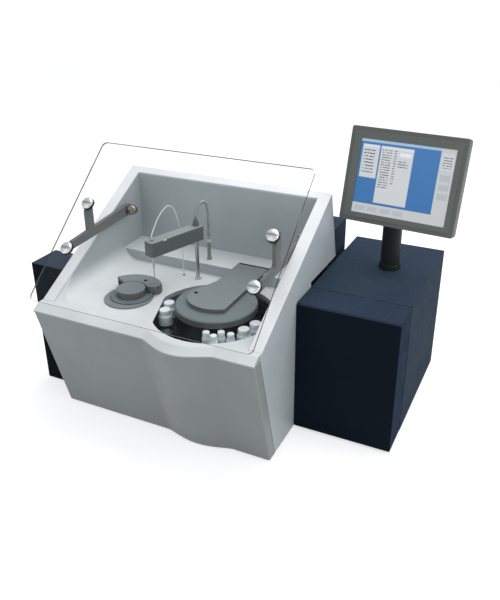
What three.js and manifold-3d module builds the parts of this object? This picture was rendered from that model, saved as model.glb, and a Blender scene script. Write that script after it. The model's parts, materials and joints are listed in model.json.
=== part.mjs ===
import * as THREE from 'three';
import { mergeVertices } from 'three/addons/utils/BufferGeometryUtils.js';
import Module from 'manifold-3d';

// Benchtop chemistry analyzer in millimetres, +Z up, X to the right along the front, Y to the back.
// While it is drawn, x = 0 is the middle of the white body, y = 0 the face of the right cabinet's
// door and z = 0 the bench. The last lines move the origin to the middle of the footprint.

const wasm = await Module();
wasm.setup();

// Fits
const fit = 0.3;
const slideFit = 0.5;
const runningGap = 0.8;
const overrun = 6;
const farCut = 1500;

// Numbers of sides for round pieces
const largeRound = 40;
const mediumRound = 20;
const smallRound = 12;
const tinyRound = 8;

// White body
const wall = 3;
const chamberLeftMargin = 117.4;
const footHeight = 3;
const footRadius = 18;
const footInset = 40;
const basePlateThickness = 3;
const baseRearY = 371;
const cornerRadius = 14;
const returnDepth = 28;
const faceRake = 74;
const waveHalfWidth = 84;
const waveBulge = 28;
const waveFootShare = 0.6;
const waveCentreShift = -4;
const waveSteps = 24;
const deckEdgeInset = 10;
const lipRun = 18;
const lipDrop = 12;
const sideFrontY = 87;
const skirtGap = 9;
const rearRun = 47;
const rearEdgeShares = [[0, 0], [0.34, 0.35], [0.87, 0.9], [1, 1]];

// Work chamber
const deckZ = 294;
const riserY = 97;
const stepHeight = 26;
const rimWidth = 28.5;
const rimThickness = 3.4;
const rimRise = 207.8;
const rimFrontRun = 15.6;
const rearWallDepth = 87;
const rearRimWidth = 18;
const deckFilletRadius = 45;
const filletSteps = 8;

// Reagent carousel
const tubRadius = 145;
const tubDepth = 68.7;
const tubSideGap = 18.5;
const tubRearGap = 4;
const openingInset = 13;
const openingShiftX = 2;
const openingShiftY = -10;
const openingChordFrom = 174;
const openingChordTo = 225;
const shaftRadius = 5.7;
const bossRadius = 16;
const bossHeight = 26;
const rotorGap = 9;
const rotorFloor = 4;
const rotorHubRadius = 22;
const rotorHubHeight = 36;
const rackHeight = 26;
const rackDepth = 48;
const rackWall = 4;
const largeBottleInset = 29;
const largeBottleGap = 2.5;
const largeBottleCount = 20;
const largeBottleStart = -172;
const smallBottleInsets = [38, 24];
const smallBottleStep = 6.3;
const smallBottleAngles = [-72, -63, -54, -45];
const filledLargeLeft = [-172, -154];
const filledLargeRight = [-28, -10];
const smallSectorFrom = -85;
const smallSectorTo = -40;
const bottleHeight = 62;
const bottleNeckHeight = 13;
const bottleCapRise = 2;
const carrierThickness = 3;
const carrierWidth = 14;
const largeShoulder = 6;
const smallShoulder = 3.7;
const coverLap = 3;
const coverRise = 2;
const coverHeight = 16;
const slabThickness = 9;
const slabArcRadius = 54;
const slabArcShiftX = -11;
const slabArcShiftY = 5;
const slabLeftShift = -35;
const slabNeckRun = 71;
const slabSeatDepth = 40;
const slabSideGap = 1.2;
const reagentTurn = -61.8;
const probeHoleRadius = 3.5;

// Reagent drive
const pulleyRadius = 38.1;
const motorPulleyRadius = 12.7;
const pulleyHeight = 14;
const pulleyDrop = 68;
const beltThickness = 1.5;
const beltMargin = 2;
const beltCentres = 95;
const motorDirection = 40;
const reagentMotorWidth = 57;
const reagentMotorHeight = 56;
const motorShaftRadius = 2.5;

// Cuvette rotor
const ringRadius = 45;
const ringOuter = 47.5;
const ringInner = 38;
const bowlGap = 0.7;
const bowlWall = 1;
const bowlDepth = 32;
const unitGap = 4.7;
const cuvetteShiftY = -23;
const flangeThickness = 2.7;
const flangeOverlap = 1.2;
const flangeRadius = 54;
const flangeShiftY = -11;
const ringFloor = 3;
const ringHubRadius = 10;
const ringHubHeight = 24;
const ringHeight = 33;
const cuvetteCount = 20;
const cuvetteLength = 5.4;
const cuvetteWidth = 4;
const cuvetteFloor = 3;
const cuvetteSetIn = 1;
const capRadius = 31.7;
const capTopRise = 21;
const capThickness = 10;
const shieldInner = 33.2;
const shieldOuter = 69;
const shieldSkirt = 3;
const shieldThickness = 6;
const shieldFrom = 28;
const shieldTo = 151;
const shieldSteps = 18;
const cuvetteHoleDirection = 78.7;
const cuvetteMotorWidth = 40;
const cuvetteMotorHeight = 40;
const photometerLength = 35;
const photometerWidth = 40;
const photometerHeight = 28;
const bowlSeatGap = 1;

// Pipetting arm and its lift
const columnOffsetX = -109;
const columnOffsetY = 118;
const columnRadius = 4.5;
const columnBottomZ = 120;
const armRestTurn = -108.1;
const armRise = 100;
const armHeight = 34;
const armWidth = 28;
const armEnd = 12;
const armShell = 2;
const chassisThickness = 2;
const chassisHubRadius = 9;
const chassisHeight = 28;
const collarRadius = 8;
const collarRise = 5;
const collarDepth = 9;
const probeRise = 44;
const probeNeedleRadius = 1.2;
const probeSleeveRadius = 2.2;
const probeNeedleLength = 37;
const probeFittingRadius = 3.5;
const probeFittingHeight = 6;
const glandRadius = 8;
const glandTopRadius = 3.6;
const glandHeight = 17;
const guideWidth = 35;
const guideDepth = 53;
const guideFrontMargin = 9;
const guidePlate = 8;
const guideBackThickness = 4;
const guideBottomZ = 40;
const guideTopGap = 15;
const screwOffsetY = 22;
const screwRadius = 4;
const nutHeight = 12;
const nutRise = 40;
const nutWidth = 24;
const nutMargin = 8;
const liftMotorWidth = 36;
const washCollarRadius = 4.4;
const washTubeRadius = 3;
const washBoreRadius = 2.2;
const washDepth = 26;
const washRise = 1.7;

// Hose and clear tube
const hoseRadius = 2.6;
const hoseGroove = 2.1;
const hoseBore = 1.4;
const hoseRibs = 48;
const hoseSides = 8;
const hoseBoreStep = 5;
const hoseGuideShift = -1.7;
const hoseGuideRun = 28.1;
const hoseGuideRadius = 4.6;
const hoseGuideBore = 3.5;
const hoseGuideRise = 52;
const hoseGuideDrop = 62;
const hoseGuideCollar = 6;
const hoseGuideCollarHeight = 5;
const clearTubeRadius = 1.3;
const clearTubeSteps = 44;
const clearTubeSides = 8;
const clearTubeHole = 3.2;
const clearTubeShiftX = -40.3;
const clearTubeShiftY = 2.3;

// Lid
const lidSideGap = 0.5;
const lidLength = 411;
const lidThickness = 5;
const lidTilt = 41.4;
const lidFrontGapY = 5.7;
const lidFrontRise = 16.9;
const lidCornerRadius = 12;
const lidArmInset = 40;
const lidArmThickness = 9;
const lidPivotBackY = 21;
const lidPivotRise = 122;
const lidArmEyeRadius = 14;
const lidArmFrontHeight = 20;
const lidArmFrontDrop = 16;
const lidArmFrontSag = 5;
const lidBranchWidth = 24;
const knobFrontAlong = 130;
const knobRearAlong = 244.5;
const knobRadius = 14;
const knobHeight = 10;
const knobEdge = 4;
const washerRadius = 15;
const washerThickness = 2;
const stemRadius = 3;
const pivotPinRadius = 4.3;
const pivotHeadRadius = 12;
const pivotHeadLength = 8;

// Right cabinet and door
const cabinetGap = 0.5;
const cabinetWidth = 225;
const cabinetTopZ = 322;
const cabinetWall = 4;
const cabinetFrontY = 85;
const cabinetRearY = 412;
const doorDepth = 84;
const doorGap = 1;
const doorWall = 3;
const doorChamfer = 4;
const doorBottomGap = 3;
const hingeInset = 2.2;
const hingeRadius = 3;
const hingeGroove = 3.7;
const hingeWindow = 3.5;
const hingeLength = 36;
const hingeEndDistance = 44;
const hingeLeaf = 1.3;
const hingeLeafLength = 19;
const cabinetVentCount = 6;
const ventHeight = 5;
const ventPitch = 12;
const ventLength = 70;

// Left pod and rear housing
const podWidth = 112;
const podFrontY = -78;
const podDepth = 86;
const podTopZ = 323;
const housingInset = 14.5;
const housingFrontGap = 16;
const housingTopZ = 383;
const housingStepY = 256;
const housingLowerDrop = 20;

// Electrics
const computerSize = [150, 250, 230];
const computerFrontGap = 18;
const computerDriveSize = [110, 26];
const supplySize = [120, 180, 90];
const supplyInset = 50;
const fanSize = 92;
const fanDepth = 25;
const fanRing = 42;
const fanHubRadius = 18;
const fanBladeCount = 5;
const fanBladeTwist = 35;
const fanBladeThickness = 2;
const fanBladeWidth = 16;
const fanTipGap = 1.8;
const fanInset = 90;
const fanZ = 250;
const inletInset = 80;
const inletZ = 60;
const inletProud = 2;
const inletBody = [54, 26];
const inletSocket = [25, 18, 17];
const inletSocketShift = -12;
const inletPinRadius = 1.5;
const inletPinSpread = 7;
const inletPinRecess = 5;
const switchWindow = [13, 12, 21];
const switchShift = 18;
const rockerWidth = 11.4;
const rockerHeight = 18;
const rockerDepth = 7;
const rockerDish = 1.6;

// Monitor
const monitorColumnShift = 128;
const monitorColumnRun = 174;
const monitorColumnRadius = 22;
const monitorBaseRadius = 27;
const monitorBaseHeight = 14;
const monitorSpigotRadius = 12;
const monitorSpigotHeight = 20;
const monitorPivotRise = 178;
const monitorNeckDrop = 40;
const monitorNeckDepth = 22;
const monitorNeckWidth = 42;
const monitorNeckGap = 1;
const monitorEarThickness = 5.5;
const monitorBarrelRadius = 9;
const monitorPinRadius = 4;
const monitorYaw = -4.8;
const monitorTilt = 15.1;
const monitorWidth = 256;
const monitorHeight = 206.5;
const monitorDepth = 30;
const monitorForward = 54.1;
const monitorCentreX = 23.2;
const monitorCentreZ = 34.6;
const monitorBezelDepth = 8;
const monitorBezelStep = 1.6;
const monitorBezelMargin = 9;
const monitorCorner = 6;
const monitorShellWall = 2.6;
const screenWidth = 208;
const screenHeight = 160;
const screenShiftX = -2;
const screenShiftZ = -3.8;
const screenRecess = 2.5;
const panelThickness = 9;
const panelMargin = 6;

// Places that follow from the sizes
const bowlInner = ringOuter + bowlGap;
const bowlOuter = bowlInner + bowlWall;
const unitsWidth = 2 * bowlOuter + unitGap + 2 * tubRadius;
const half = wall + (chamberLeftMargin + unitsWidth + tubSideGap) / 2;
const skinInner = half - wall;
const chamberHalf = half - rimWidth;
const skinFoot = footHeight;
const baseTop = footHeight + basePlateThickness;
const deckUnder = deckZ - wall;
const openingRadius = tubRadius - openingInset;
const rotorRadius = tubRadius - rotorGap;
const rackWallOuter = rotorRadius - rackDepth;
const largeBottleRing = rotorRadius - largeBottleInset;
const largeBottlePitch = (2 * largeBottleRing * Math.PI) / largeBottleCount;
const largeBottleRadius = (largeBottlePitch - largeBottleGap) / 2;
const largeNeckRadius = largeBottleRadius - largeShoulder;
const smallBottleRings = smallBottleInsets.map((inset) => rotorRadius - inset);
const smallBottleRadius = largeBottleRadius - smallBottleStep;
const smallNeckRadius = smallBottleRadius - smallShoulder;
const coverRadius = rackWallOuter + coverLap;
const rotorX = skinInner - tubSideGap - tubRadius;
const rotorY = riserY - tubRearGap - tubRadius;
const tubTop = deckUnder - fit;
const tubFloorTop = tubTop - tubDepth + wall;
const tubFloorUnder = tubFloorTop - wall;
const deckEdgeY = rotorY - tubRadius + deckEdgeInset;
const browY = deckEdgeY - lipRun;
const browZ = deckZ - lipDrop;
const faceSlope = faceRake / (browZ - skinFoot);
const faceY = (z) => browY + (browZ - z) * faceSlope;
const rimFrontY = deckEdgeY + rimFrontRun;
const rearWallY = riserY + rearWallDepth;
const rimRearY = rearWallY + rearRimWidth;
const rimRearZ = deckZ + rimRise;
const rimSlope = rimRise / (rimRearY - rimFrontY);
const rimZ = (y) => deckZ + (y - rimFrontY) * rimSlope;
const ledgeZ = deckZ + stepHeight;
const ledgeUnder = ledgeZ - wall;
const skirtZ = cabinetTopZ + skirtGap;
const skirtRearY = rimRearY + rearRun;
const cuvetteX = rotorX - tubRadius - unitGap - bowlOuter;
const cuvetteY = rotorY + cuvetteShiftY;
const bowlFloorUnder = deckZ - bowlDepth;
const bowlFloorTop = bowlFloorUnder + 2 * bowlWall;
const columnX = rotorX + columnOffsetX;
const columnY = rotorY + columnOffsetY;
const hoseGuideX = columnX + hoseGuideShift;
const hoseGuideY = riserY + hoseGuideRun;
const clearTubeX = columnX + clearTubeShiftX;
const clearTubeY = columnY + clearTubeShiftY;
const armUnder = deckZ + armRise;
const armTop = armUnder + armHeight;
const doorFrontY = cabinetFrontY - doorDepth - doorGap;
const cabinetLeft = half + cabinetGap;
const cabinetRight = cabinetLeft + cabinetWidth;
const hingeX = cabinetRight - hingeInset;
const hingeY = cabinetFrontY - slideFit;
const housingHalf = half - housingInset - wall;
const supplyLeft = supplyInset - housingHalf;
const fanX = housingHalf - fanInset;
const inletX = inletInset - housingHalf;
const housingFrontY = riserY + housingFrontGap + wall;
const housingLowerTop = ledgeZ - housingLowerDrop;
const monitorColumnX = cabinetLeft + monitorColumnShift;
const monitorColumnY = cabinetFrontY + monitorColumnRun;
const monitorPivotZ = cabinetTopZ + monitorPivotRise;

const toRadians = THREE.MathUtils.degToRad;
const onCircle = (x, y, radius, degrees) => [
  x + radius * Math.cos(toRadians(degrees)),
  y + radius * Math.sin(toRadians(degrees)),
];

const cuvetteHole = onCircle(cuvetteX, cuvetteY, ringRadius, cuvetteHoleDirection);
const reach = Math.hypot(cuvetteHole[0] - columnX, cuvetteHole[1] - columnY);
const reagentHole = onCircle(columnX, columnY, reach, reagentTurn);
const washPlace = onCircle(columnX, columnY, reach, armRestTurn);

// Solids

function solid(geometry) {
  const bare = geometry.clone();
  bare.deleteAttribute('normal');
  bare.deleteAttribute('uv');
  const merged = mergeVertices(bare);
  const corners = merged.index.array;
  const kept = [];
  for (let i = 0; i < corners.length; i += 3) {
    const [a, b, c] = corners.slice(i, i + 3);
    if (a !== b && b !== c && c !== a) kept.push(a, b, c);
  }
  return new wasm.Manifold(new wasm.Mesh({
    numProp: 3,
    vertProperties: new Float32Array(merged.attributes.position.array),
    triVerts: new Uint32Array(kept),
  }));
}

function geometryOf(body) {
  const mesh = body.getMesh();
  const geometry = new THREE.BufferGeometry();
  geometry.setAttribute('position', new THREE.BufferAttribute(mesh.vertProperties, mesh.numProp));
  geometry.setIndex(new THREE.BufferAttribute(mesh.triVerts, 1));
  return geometry;
}

function join(...bodies) {
  return bodies.reduce((whole, body) => whole.add(body));
}

function cut(body, ...tools) {
  return tools.reduce((left, tool) => left.subtract(tool), body);
}

function box(x0, x1, y0, y1, z0, z1) {
  const geometry = new THREE.BoxGeometry(x1 - x0, y1 - y0, z1 - z0);
  geometry.translate((x0 + x1) / 2, (y0 + y1) / 2, (z0 + z1) / 2);
  return solid(geometry);
}

function rod(x, y, z0, z1, radius, sides = mediumRound, topRadius = radius) {
  const geometry = new THREE.CylinderGeometry(topRadius, radius, z1 - z0, sides);
  geometry.rotateX(Math.PI / 2);
  geometry.translate(x, y, (z0 + z1) / 2);
  return solid(geometry);
}

function rodAlongX(x0, x1, y, z, radius, sides = mediumRound, endRadius = radius) {
  const geometry = new THREE.CylinderGeometry(endRadius, radius, x1 - x0, sides);
  geometry.rotateZ(-Math.PI / 2);
  geometry.translate((x0 + x1) / 2, y, z);
  return solid(geometry);
}

function rodAlongY(y0, y1, x, z, radius, sides = mediumRound) {
  const geometry = new THREE.CylinderGeometry(radius, radius, y1 - y0, sides);
  geometry.translate(x, (y0 + y1) / 2, z);
  return solid(geometry);
}

function turned(x, y, profile, sides = largeRound) {
  const points = profile.map(([radius, z]) => new THREE.Vector2(radius, z));
  if (THREE.ShapeUtils.area(points) < 0) points.reverse();
  points.push(points[0].clone());
  const geometry = new THREE.LatheGeometry(points, sides);
  geometry.rotateX(Math.PI / 2);
  geometry.translate(x, y, 0);
  return solid(geometry);
}

function outlineShape(points) {
  return new THREE.Shape(points.map(([u, v]) => new THREE.Vector2(u, v)));
}

function plate(points, z0, z1) {
  const geometry = new THREE.ExtrudeGeometry(outlineShape(points), { depth: z1 - z0, bevelEnabled: false });
  geometry.translate(0, 0, z0);
  return solid(geometry);
}

// An outline in Y and Z carried from x0 to x1
const sideways = new THREE.Matrix4().makeBasis(
  new THREE.Vector3(0, 1, 0),
  new THREE.Vector3(0, 0, 1),
  new THREE.Vector3(1, 0, 0),
);

function sidePlate(points, x0, x1) {
  const geometry = new THREE.ExtrudeGeometry(outlineShape(points), { depth: x1 - x0, bevelEnabled: false });
  geometry.applyMatrix4(sideways);
  geometry.translate(x0, 0, 0);
  return solid(geometry);
}

function bend(geometry, change) {
  const positions = geometry.attributes.position;
  const point = new THREE.Vector3();
  for (let i = 0; i < positions.count; i += 1) {
    change(point.fromBufferAttribute(positions, i));
    positions.setXYZ(i, point.x, point.y, point.z);
  }
  return geometry;
}

function arc(x, y, radius, fromDegrees, toDegrees, steps) {
  return Array.from({ length: steps + 1 }, (_, i) => (
    onCircle(x, y, radius, fromDegrees + ((toDegrees - fromDegrees) * i) / steps)
  ));
}

function tube(points, radius, steps, sides) {
  const section = new THREE.Shape(arc(0, 0, radius, 0, 360 - 360 / sides, sides - 1)
    .map(([u, v]) => new THREE.Vector2(u, v)));
  const path = new THREE.CatmullRomCurve3(points.map((p) => new THREE.Vector3(...p)));
  return solid(new THREE.ExtrudeGeometry(section, { extrudePath: path, steps, bevelEnabled: false }));
}

// Finishes

const white = { color: 0xe1e6e6, roughness: 0.42, metalness: 0 };
const sidePaint = { color: 0x969ea5, roughness: 0.5, metalness: 0 };
const navy = { color: 0x141d2e, roughness: 0.5, metalness: 0 };
const black = { color: 0x0c1110, roughness: 0.55, metalness: 0 };
const discGrey = { color: 0x878e93, roughness: 0.45, metalness: 0 };
const armGrey = { color: 0x50554f, roughness: 0.5, metalness: 0.1 };
const steel = { color: 0xa8adb0, roughness: 0.3, metalness: 1 };
const darkSteel = { color: 0x5c605c, roughness: 0.4, metalness: 0.8 };
const chrome = { color: 0xd8dcdc, roughness: 0.15, metalness: 1 };
const rubber = { color: 0x15181a, roughness: 0.85, metalness: 0 };
const bottlePlastic = { color: 0xd6e2e4, roughness: 0.4, metalness: 0 };
const glass = { color: 0xdde9ea, roughness: 0.05, metalness: 0, transparent: true, opacity: 0.25 };
const bezelGrey = { color: 0x64665f, roughness: 0.5, metalness: 0 };
const screenBlue = { color: 0x4276b6, roughness: 0.2, metalness: 0 };
const boxGrey = { color: 0x8c9196, roughness: 0.5, metalness: 0.4 };
const brass = { color: 0xa88a4a, roughness: 0.35, metalness: 1 };

const analyzer = new THREE.Group();

function add(name, body, finish, parent = analyzer) {
  const mesh = new THREE.Mesh(geometryOf(body), new THREE.MeshStandardMaterial(finish));
  mesh.name = name;
  parent.add(mesh);
  return mesh;
}

// Front shape that the panel, lip and deck share

const waveX = rotorX + waveCentreShift;

function wave(x, z) {
  const t = (x - waveX) / waveHalfWidth;
  if (Math.abs(t) >= 1) return 0;
  const share = waveFootShare + ((1 - waveFootShare) * (z - skinFoot)) / (browZ - skinFoot);
  return waveBulge * (1 - t * t) ** 1.5 * Math.min(share, 1);
}

const waveStations = Array.from({ length: waveSteps + 1 }, (_, i) => (
  waveX - waveHalfWidth + (2 * waveHalfWidth * i) / waveSteps
));

function frontPanel() {
  const inner = half - wall;
  const innerCorner = cornerRadius - wall;
  const outline = [
    [-half, returnDepth],
    ...arc(-half + cornerRadius, cornerRadius, cornerRadius, 180, 270, 6),
    ...waveStations.map((x) => [x, -wave(x, browZ)]),
    ...arc(half - cornerRadius, cornerRadius, cornerRadius, 270, 360, 6),
    [half, returnDepth],
    [inner, returnDepth],
    ...arc(half - cornerRadius, cornerRadius, innerCorner, 360, 270, 6),
    ...waveStations.map((x) => [x, wall - wave(x, browZ)]).reverse(),
    ...arc(-half + cornerRadius, cornerRadius, innerCorner, 270, 180, 6),
    [-inner, returnDepth],
  ];
  const height = browZ - wall - fit - skinFoot;
  const geometry = new THREE.ExtrudeGeometry(outlineShape(outline), { depth: height, bevelEnabled: false });
  bend(geometry, (p) => {
    p.z += skinFoot;
    p.y += faceY(p.z) + wave(p.x, browZ) - wave(p.x, p.z);
  });
  return solid(geometry);
}

function lip() {
  const back = rimFrontY - fit;
  const profile = [
    [back, deckUnder],
    [back, deckZ],
    [deckEdgeY, deckZ],
    [browY, browZ],
    [browY, browZ - wall],
    [browY + wall / 2, browZ - wall],
    [deckEdgeY + wall / 2, deckUnder],
  ];
  const stations = [-half, ...waveStations, half];
  const steps = stations.length - 1;
  const unitLength = { depth: 1, steps, bevelEnabled: false };
  const geometry = new THREE.ExtrudeGeometry(outlineShape(profile), unitLength);
  geometry.applyMatrix4(sideways);
  bend(geometry, (p) => {
    p.x = stations[Math.round(p.x * steps)];
    if (p.y < back - wall) p.y -= wave(p.x, browZ);
  });
  return solid(geometry);
}

function lipCheek(x0, x1) {
  const foot = browZ - wall;
  const top = deckZ - wall / 2;
  return sidePlate([
    [browY, foot],
    [faceY(foot) + returnDepth, foot],
    [faceY(top) + returnDepth, top],
    [deckEdgeY, deckZ - wall / 2],
    [browY, browZ - wall / 2],
  ], x0, x1);
}

// A band that follows the sloping rim, and everything above it
function rimBand(grow, height, x0, x1) {
  const front = rimFrontY - grow;
  const rear = rimRearY + grow;
  const under = rimThickness + grow;
  return sidePlate([
    [front, rimZ(front) - under],
    [rear, rimZ(rear) - under],
    [rear, rimZ(rear) + height],
    [front, rimZ(front) + height],
  ], x0, x1);
}

// The space that the rim frame takes, with all that is above it
function rimSpace() {
  const inner = chamberHalf - fit;
  const chamber = box(-inner, inner, rimFrontY - overrun, rearWallY - fit, 0, 2 * farCut);
  return cut(rimBand(fit, farCut, -farCut, farCut), chamber);
}

function rimFrame() {
  const opening = box(-chamberHalf, chamberHalf, rimFrontY - overrun, rearWallY, 0, farCut);
  return cut(rimBand(0, 0, -half, half), opening);
}

function rearEdge(inset) {
  return rearEdgeShares.map(([runShare, dropShare]) => [
    rimRearY + rearRun * runShare - inset,
    rimRearZ - (rimRearZ - skirtZ) * dropShare,
  ]);
}

function skinOutline(lowerPoints) {
  const seamTop = deckUnder - fit;
  const rimCorner = rimFrontY + fit;
  return [
    [faceY(skinFoot) + returnDepth + fit, skinFoot],
    ...lowerPoints,
    ...rearEdge(0).reverse(),
    [rimCorner, rimZ(rimCorner)],
    [rimCorner, seamTop],
    [faceY(seamTop) + returnDepth + fit, seamTop],
  ];
}

function sideSkin(x0, x1, lowerPoints) {
  const above = rimBand(fit, farCut, x0 - overrun, x1 + overrun);
  return cut(sidePlate(skinOutline(lowerPoints), x0, x1), above);
}

function rearPanel() {
  const width = skinInner - fit;
  const outline = [...rearEdge(0), ...rearEdge(wall).reverse()];
  return cut(sidePlate(outline, -width, width), rimBand(fit, farCut, -farCut, farCut));
}

function basePlate() {
  const front = faceY(skinFoot) + wall + fit;
  const width = skinInner - fit;
  const footY = [faceY(skinFoot) + footInset, baseRearY - footInset];
  const outline = [
    [width, baseRearY],
    [-width, baseRearY],
    ...arc(-width + cornerRadius, front + cornerRadius, cornerRadius, 180, 270, 6),
    ...arc(width - cornerRadius, front + cornerRadius, cornerRadius, 270, 360, 6),
  ];
  return join(
    plate(outline, footHeight, baseTop),
    feet([-half + footInset, half - footInset], footY),
  );
}

// Feet moulded under a piece whose underside is at the foot height
function feet(xs, ys) {
  const top = footHeight + wall / 2;
  const places = xs.flatMap((x) => ys.map((y) => [x, y]));
  return join(...places.map(([x, y]) => rod(x, y, 0, top, footRadius, smallRound)));
}

// Deck with its lip, riser, ledge and chamber walls in one moulding

const slabArcX = rotorX + slabArcShiftX;
const slabArcY = rotorY + slabArcShiftY;
const slabLeftX = rotorX + slabLeftShift;
const slabRightX = slabArcX + slabArcRadius;
const slabNeckY = riserY - slabNeckRun;
const slabUnder = deckZ + coverRise + coverHeight;
const slabTop = slabUnder + slabThickness;
const slabRearY = riserY + slabSeatDepth;

function slabOutline(grow) {
  return [
    [slabRightX + grow, slabRearY + grow],
    [slabLeftX - grow, slabRearY + grow],
    [slabLeftX - grow, slabNeckY],
    ...arc(slabArcX, slabArcY, slabArcRadius + grow, 168, 360, 24),
  ];
}

function deckOpening() {
  const from = openingChordTo - 360;
  const points = arc(
    rotorX + openingShiftX,
    rotorY + openingShiftY,
    openingRadius,
    from,
    openingChordFrom,
    largeRound,
  );
  return plate(points, deckUnder - overrun, deckZ + overrun);
}

function deckFillet() {
  const x = -chamberHalf;
  const centreX = x + deckFilletRadius;
  const centreZ = deckZ + deckFilletRadius;
  const points = [
    [x - wall / 2, deckUnder],
    [centreX, deckUnder],
    ...arc(centreX, centreZ, deckFilletRadius, 270, 180, filletSteps),
    [x - wall / 2, centreZ],
  ];
  const geometry = new THREE.ExtrudeGeometry(
    outlineShape(points),
    { depth: riserY - rimFrontY, bevelEnabled: false },
  );
  geometry.rotateX(Math.PI / 2);
  geometry.translate(0, riserY, 0);
  return cut(solid(geometry), rimBand(fit, farCut, -farCut, farCut));
}

function deckMoulding() {
  const outer = chamberHalf + wall;
  const rear = rearWallY + wall;
  const deck = box(-outer, outer, rimFrontY - wall, riserY + wall, deckUnder, deckZ);
  const riser = box(-outer, outer, riserY, riserY + wall, deckUnder, ledgeZ);
  const ledge = box(-outer, outer, riserY, rear, ledgeUnder, ledgeZ);
  const back = box(-outer, outer, rearWallY, rear, ledgeUnder, rimRearZ);
  const walls = [[-outer, -chamberHalf], [chamberHalf, outer]].map(([x0, x1]) => (
    sidePlate([
      [rimFrontY, deckUnder],
      [riserY + wall, deckUnder],
      [riserY + wall, ledgeUnder],
      [rear, ledgeUnder],
      [rear, rimZ(rear)],
      [rimFrontY, rimZ(rimFrontY)],
    ], x0, x1)
  ));
  const recessFloor = slabUnder - fit - wall;
  const recess = box(
    slabLeftX - slabSideGap - wall,
    slabRightX + slabSideGap + wall,
    riserY,
    slabRearY + slabSideGap + wall,
    recessFloor,
    ledgeZ,
  );
  const slabSpace = plate(slabOutline(slabSideGap), slabUnder - fit, ledgeZ + overrun);
  const cheeks = [lipCheek(-half, -skinInner), lipCheek(skinInner, half)];
  const collar = rod(columnX, columnY, deckZ - collarDepth, deckZ + collarRise, collarRadius);
  const body = join(deck, lip(), ...cheeks, riser, ledge, back, ...walls, deckFillet(), recess, collar);
  const through = deckUnder - overrun;
  return cut(
    body,
    rimSpace(),
    slabSpace,
    deckOpening(),
    rod(cuvetteX, cuvetteY, through, deckZ + overrun, bowlOuter + fit, largeRound),
    rod(...washPlace, through, deckZ + overrun, washTubeRadius + fit, smallRound),
    rod(columnX, columnY, deckZ - farCut, deckZ + farCut, columnRadius + slideFit),
    rod(clearTubeX, clearTubeY, through, deckZ + overrun, clearTubeHole, smallRound),
    rod(hoseGuideX, hoseGuideY, ledgeUnder - overrun, ledgeZ + overrun, hoseGuideRadius + fit, smallRound),
  );
}

// Housings behind and beside the body

function housingProfile(inset, foot) {
  return [
    [housingFrontY + inset, foot],
    [baseRearY - inset, foot],
    [baseRearY - inset, housingTopZ - inset],
    [housingStepY + inset, housingTopZ - inset],
    [housingStepY + inset, housingLowerTop - inset],
    [housingFrontY + inset, housingLowerTop - inset],
  ];
}

function ventSlots(x, z, y) {
  return Array.from({ length: cabinetVentCount }, (_, i) => {
    const centre = z + (i - (cabinetVentCount - 1) / 2) * ventPitch;
    return box(
      x - ventLength / 2,
      x + ventLength / 2,
      y - overrun,
      y + overrun,
      centre - ventHeight / 2,
      centre + ventHeight / 2,
    );
  });
}

function rearHousing() {
  const shell = cut(
    sidePlate(housingProfile(0, baseTop + fit), -housingHalf, housingHalf),
    sidePlate(housingProfile(wall, 0), -housingHalf + wall, housingHalf - wall),
  );
  const [bodyWide, bodyHigh] = inletBody;
  const inletWindow = box(
    inletX - bodyWide / 2 - fit,
    inletX + bodyWide / 2 + fit,
    baseRearY - wall - overrun,
    baseRearY + overrun,
    inletZ - bodyHigh / 2 - fit,
    inletZ + bodyHigh / 2 + fit,
  );
  const hoseHole = rod(
    hoseGuideX,
    hoseGuideY,
    housingLowerTop - wall - overrun,
    housingLowerTop + overrun,
    hoseGuideRadius + fit,
    smallRound,
  );
  return cut(shell, ...ventSlots(fanX, fanZ, baseRearY), inletWindow, hoseHole);
}

function leftPod() {
  const right = -cabinetLeft;
  const left = right - podWidth;
  const rear = podFrontY + podDepth;
  const shell = cut(
    box(left, right, podFrontY, rear, footHeight, podTopZ),
    box(left + wall, right + overrun, podFrontY + wall, rear - wall, footHeight + wall, podTopZ - wall),
  );
  return join(shell, feet([left + footInset, right - footInset], [podFrontY + podDepth / 2]));
}

add('base_plate', basePlate(), boxGrey);
add('front_panel', frontPanel(), white);
add('side_panel_right', sideSkin(skinInner, half, [
  [sideFrontY, skinFoot],
  [sideFrontY, skirtZ],
]), sidePaint);
add('side_panel_left', sideSkin(-half, -skinInner, [[skirtRearY, skinFoot]]), sidePaint);
add('rim_frame', rimFrame(), white);
add('rear_panel', rearPanel(), sidePaint);
add('deck_moulding', deckMoulding(), white);
add('rear_housing', rearHousing(), navy);
add('left_pod', leftPod(), navy);

// Reagent carousel

const rotorBase = tubFloorTop + 2 * wall;
const rackUnder = rotorBase + rackHeight;
const rackTop = rackUnder + rotorFloor;
const bottleFoot = rotorBase + rotorFloor + fit;
const pulleyUnder = tubFloorUnder - pulleyDrop - pulleyHeight;
const pulleyTop = pulleyUnder + pulleyHeight;
const motorCentre = onCircle(rotorX, rotorY, beltCentres, motorDirection);

function reagentTub() {
  const inner = tubRadius - wall;
  const bore = shaftRadius + slideFit;
  return turned(rotorX, rotorY, [
    [bore, tubFloorUnder - bossHeight],
    [bossRadius, tubFloorUnder - bossHeight],
    [bossRadius, tubFloorUnder],
    [tubRadius, tubFloorUnder],
    [tubRadius, tubTop],
    [inner, tubTop],
    [inner, tubFloorTop],
    [bore, tubFloorTop],
  ]);
}

function bottlePlaces() {
  const step = 360 / largeBottleCount;
  const large = Array.from({ length: largeBottleCount }, (_, i) => largeBottleStart + i * step)
    .filter((angle) => angle < smallSectorFrom || angle > smallSectorTo)
    .map((angle) => onCircle(rotorX, rotorY, largeBottleRing, angle));
  const small = smallBottleAngles.map((angle, i) => (
    onCircle(rotorX, rotorY, smallRing(i), angle)
  ));
  return { large, small };
}

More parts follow.
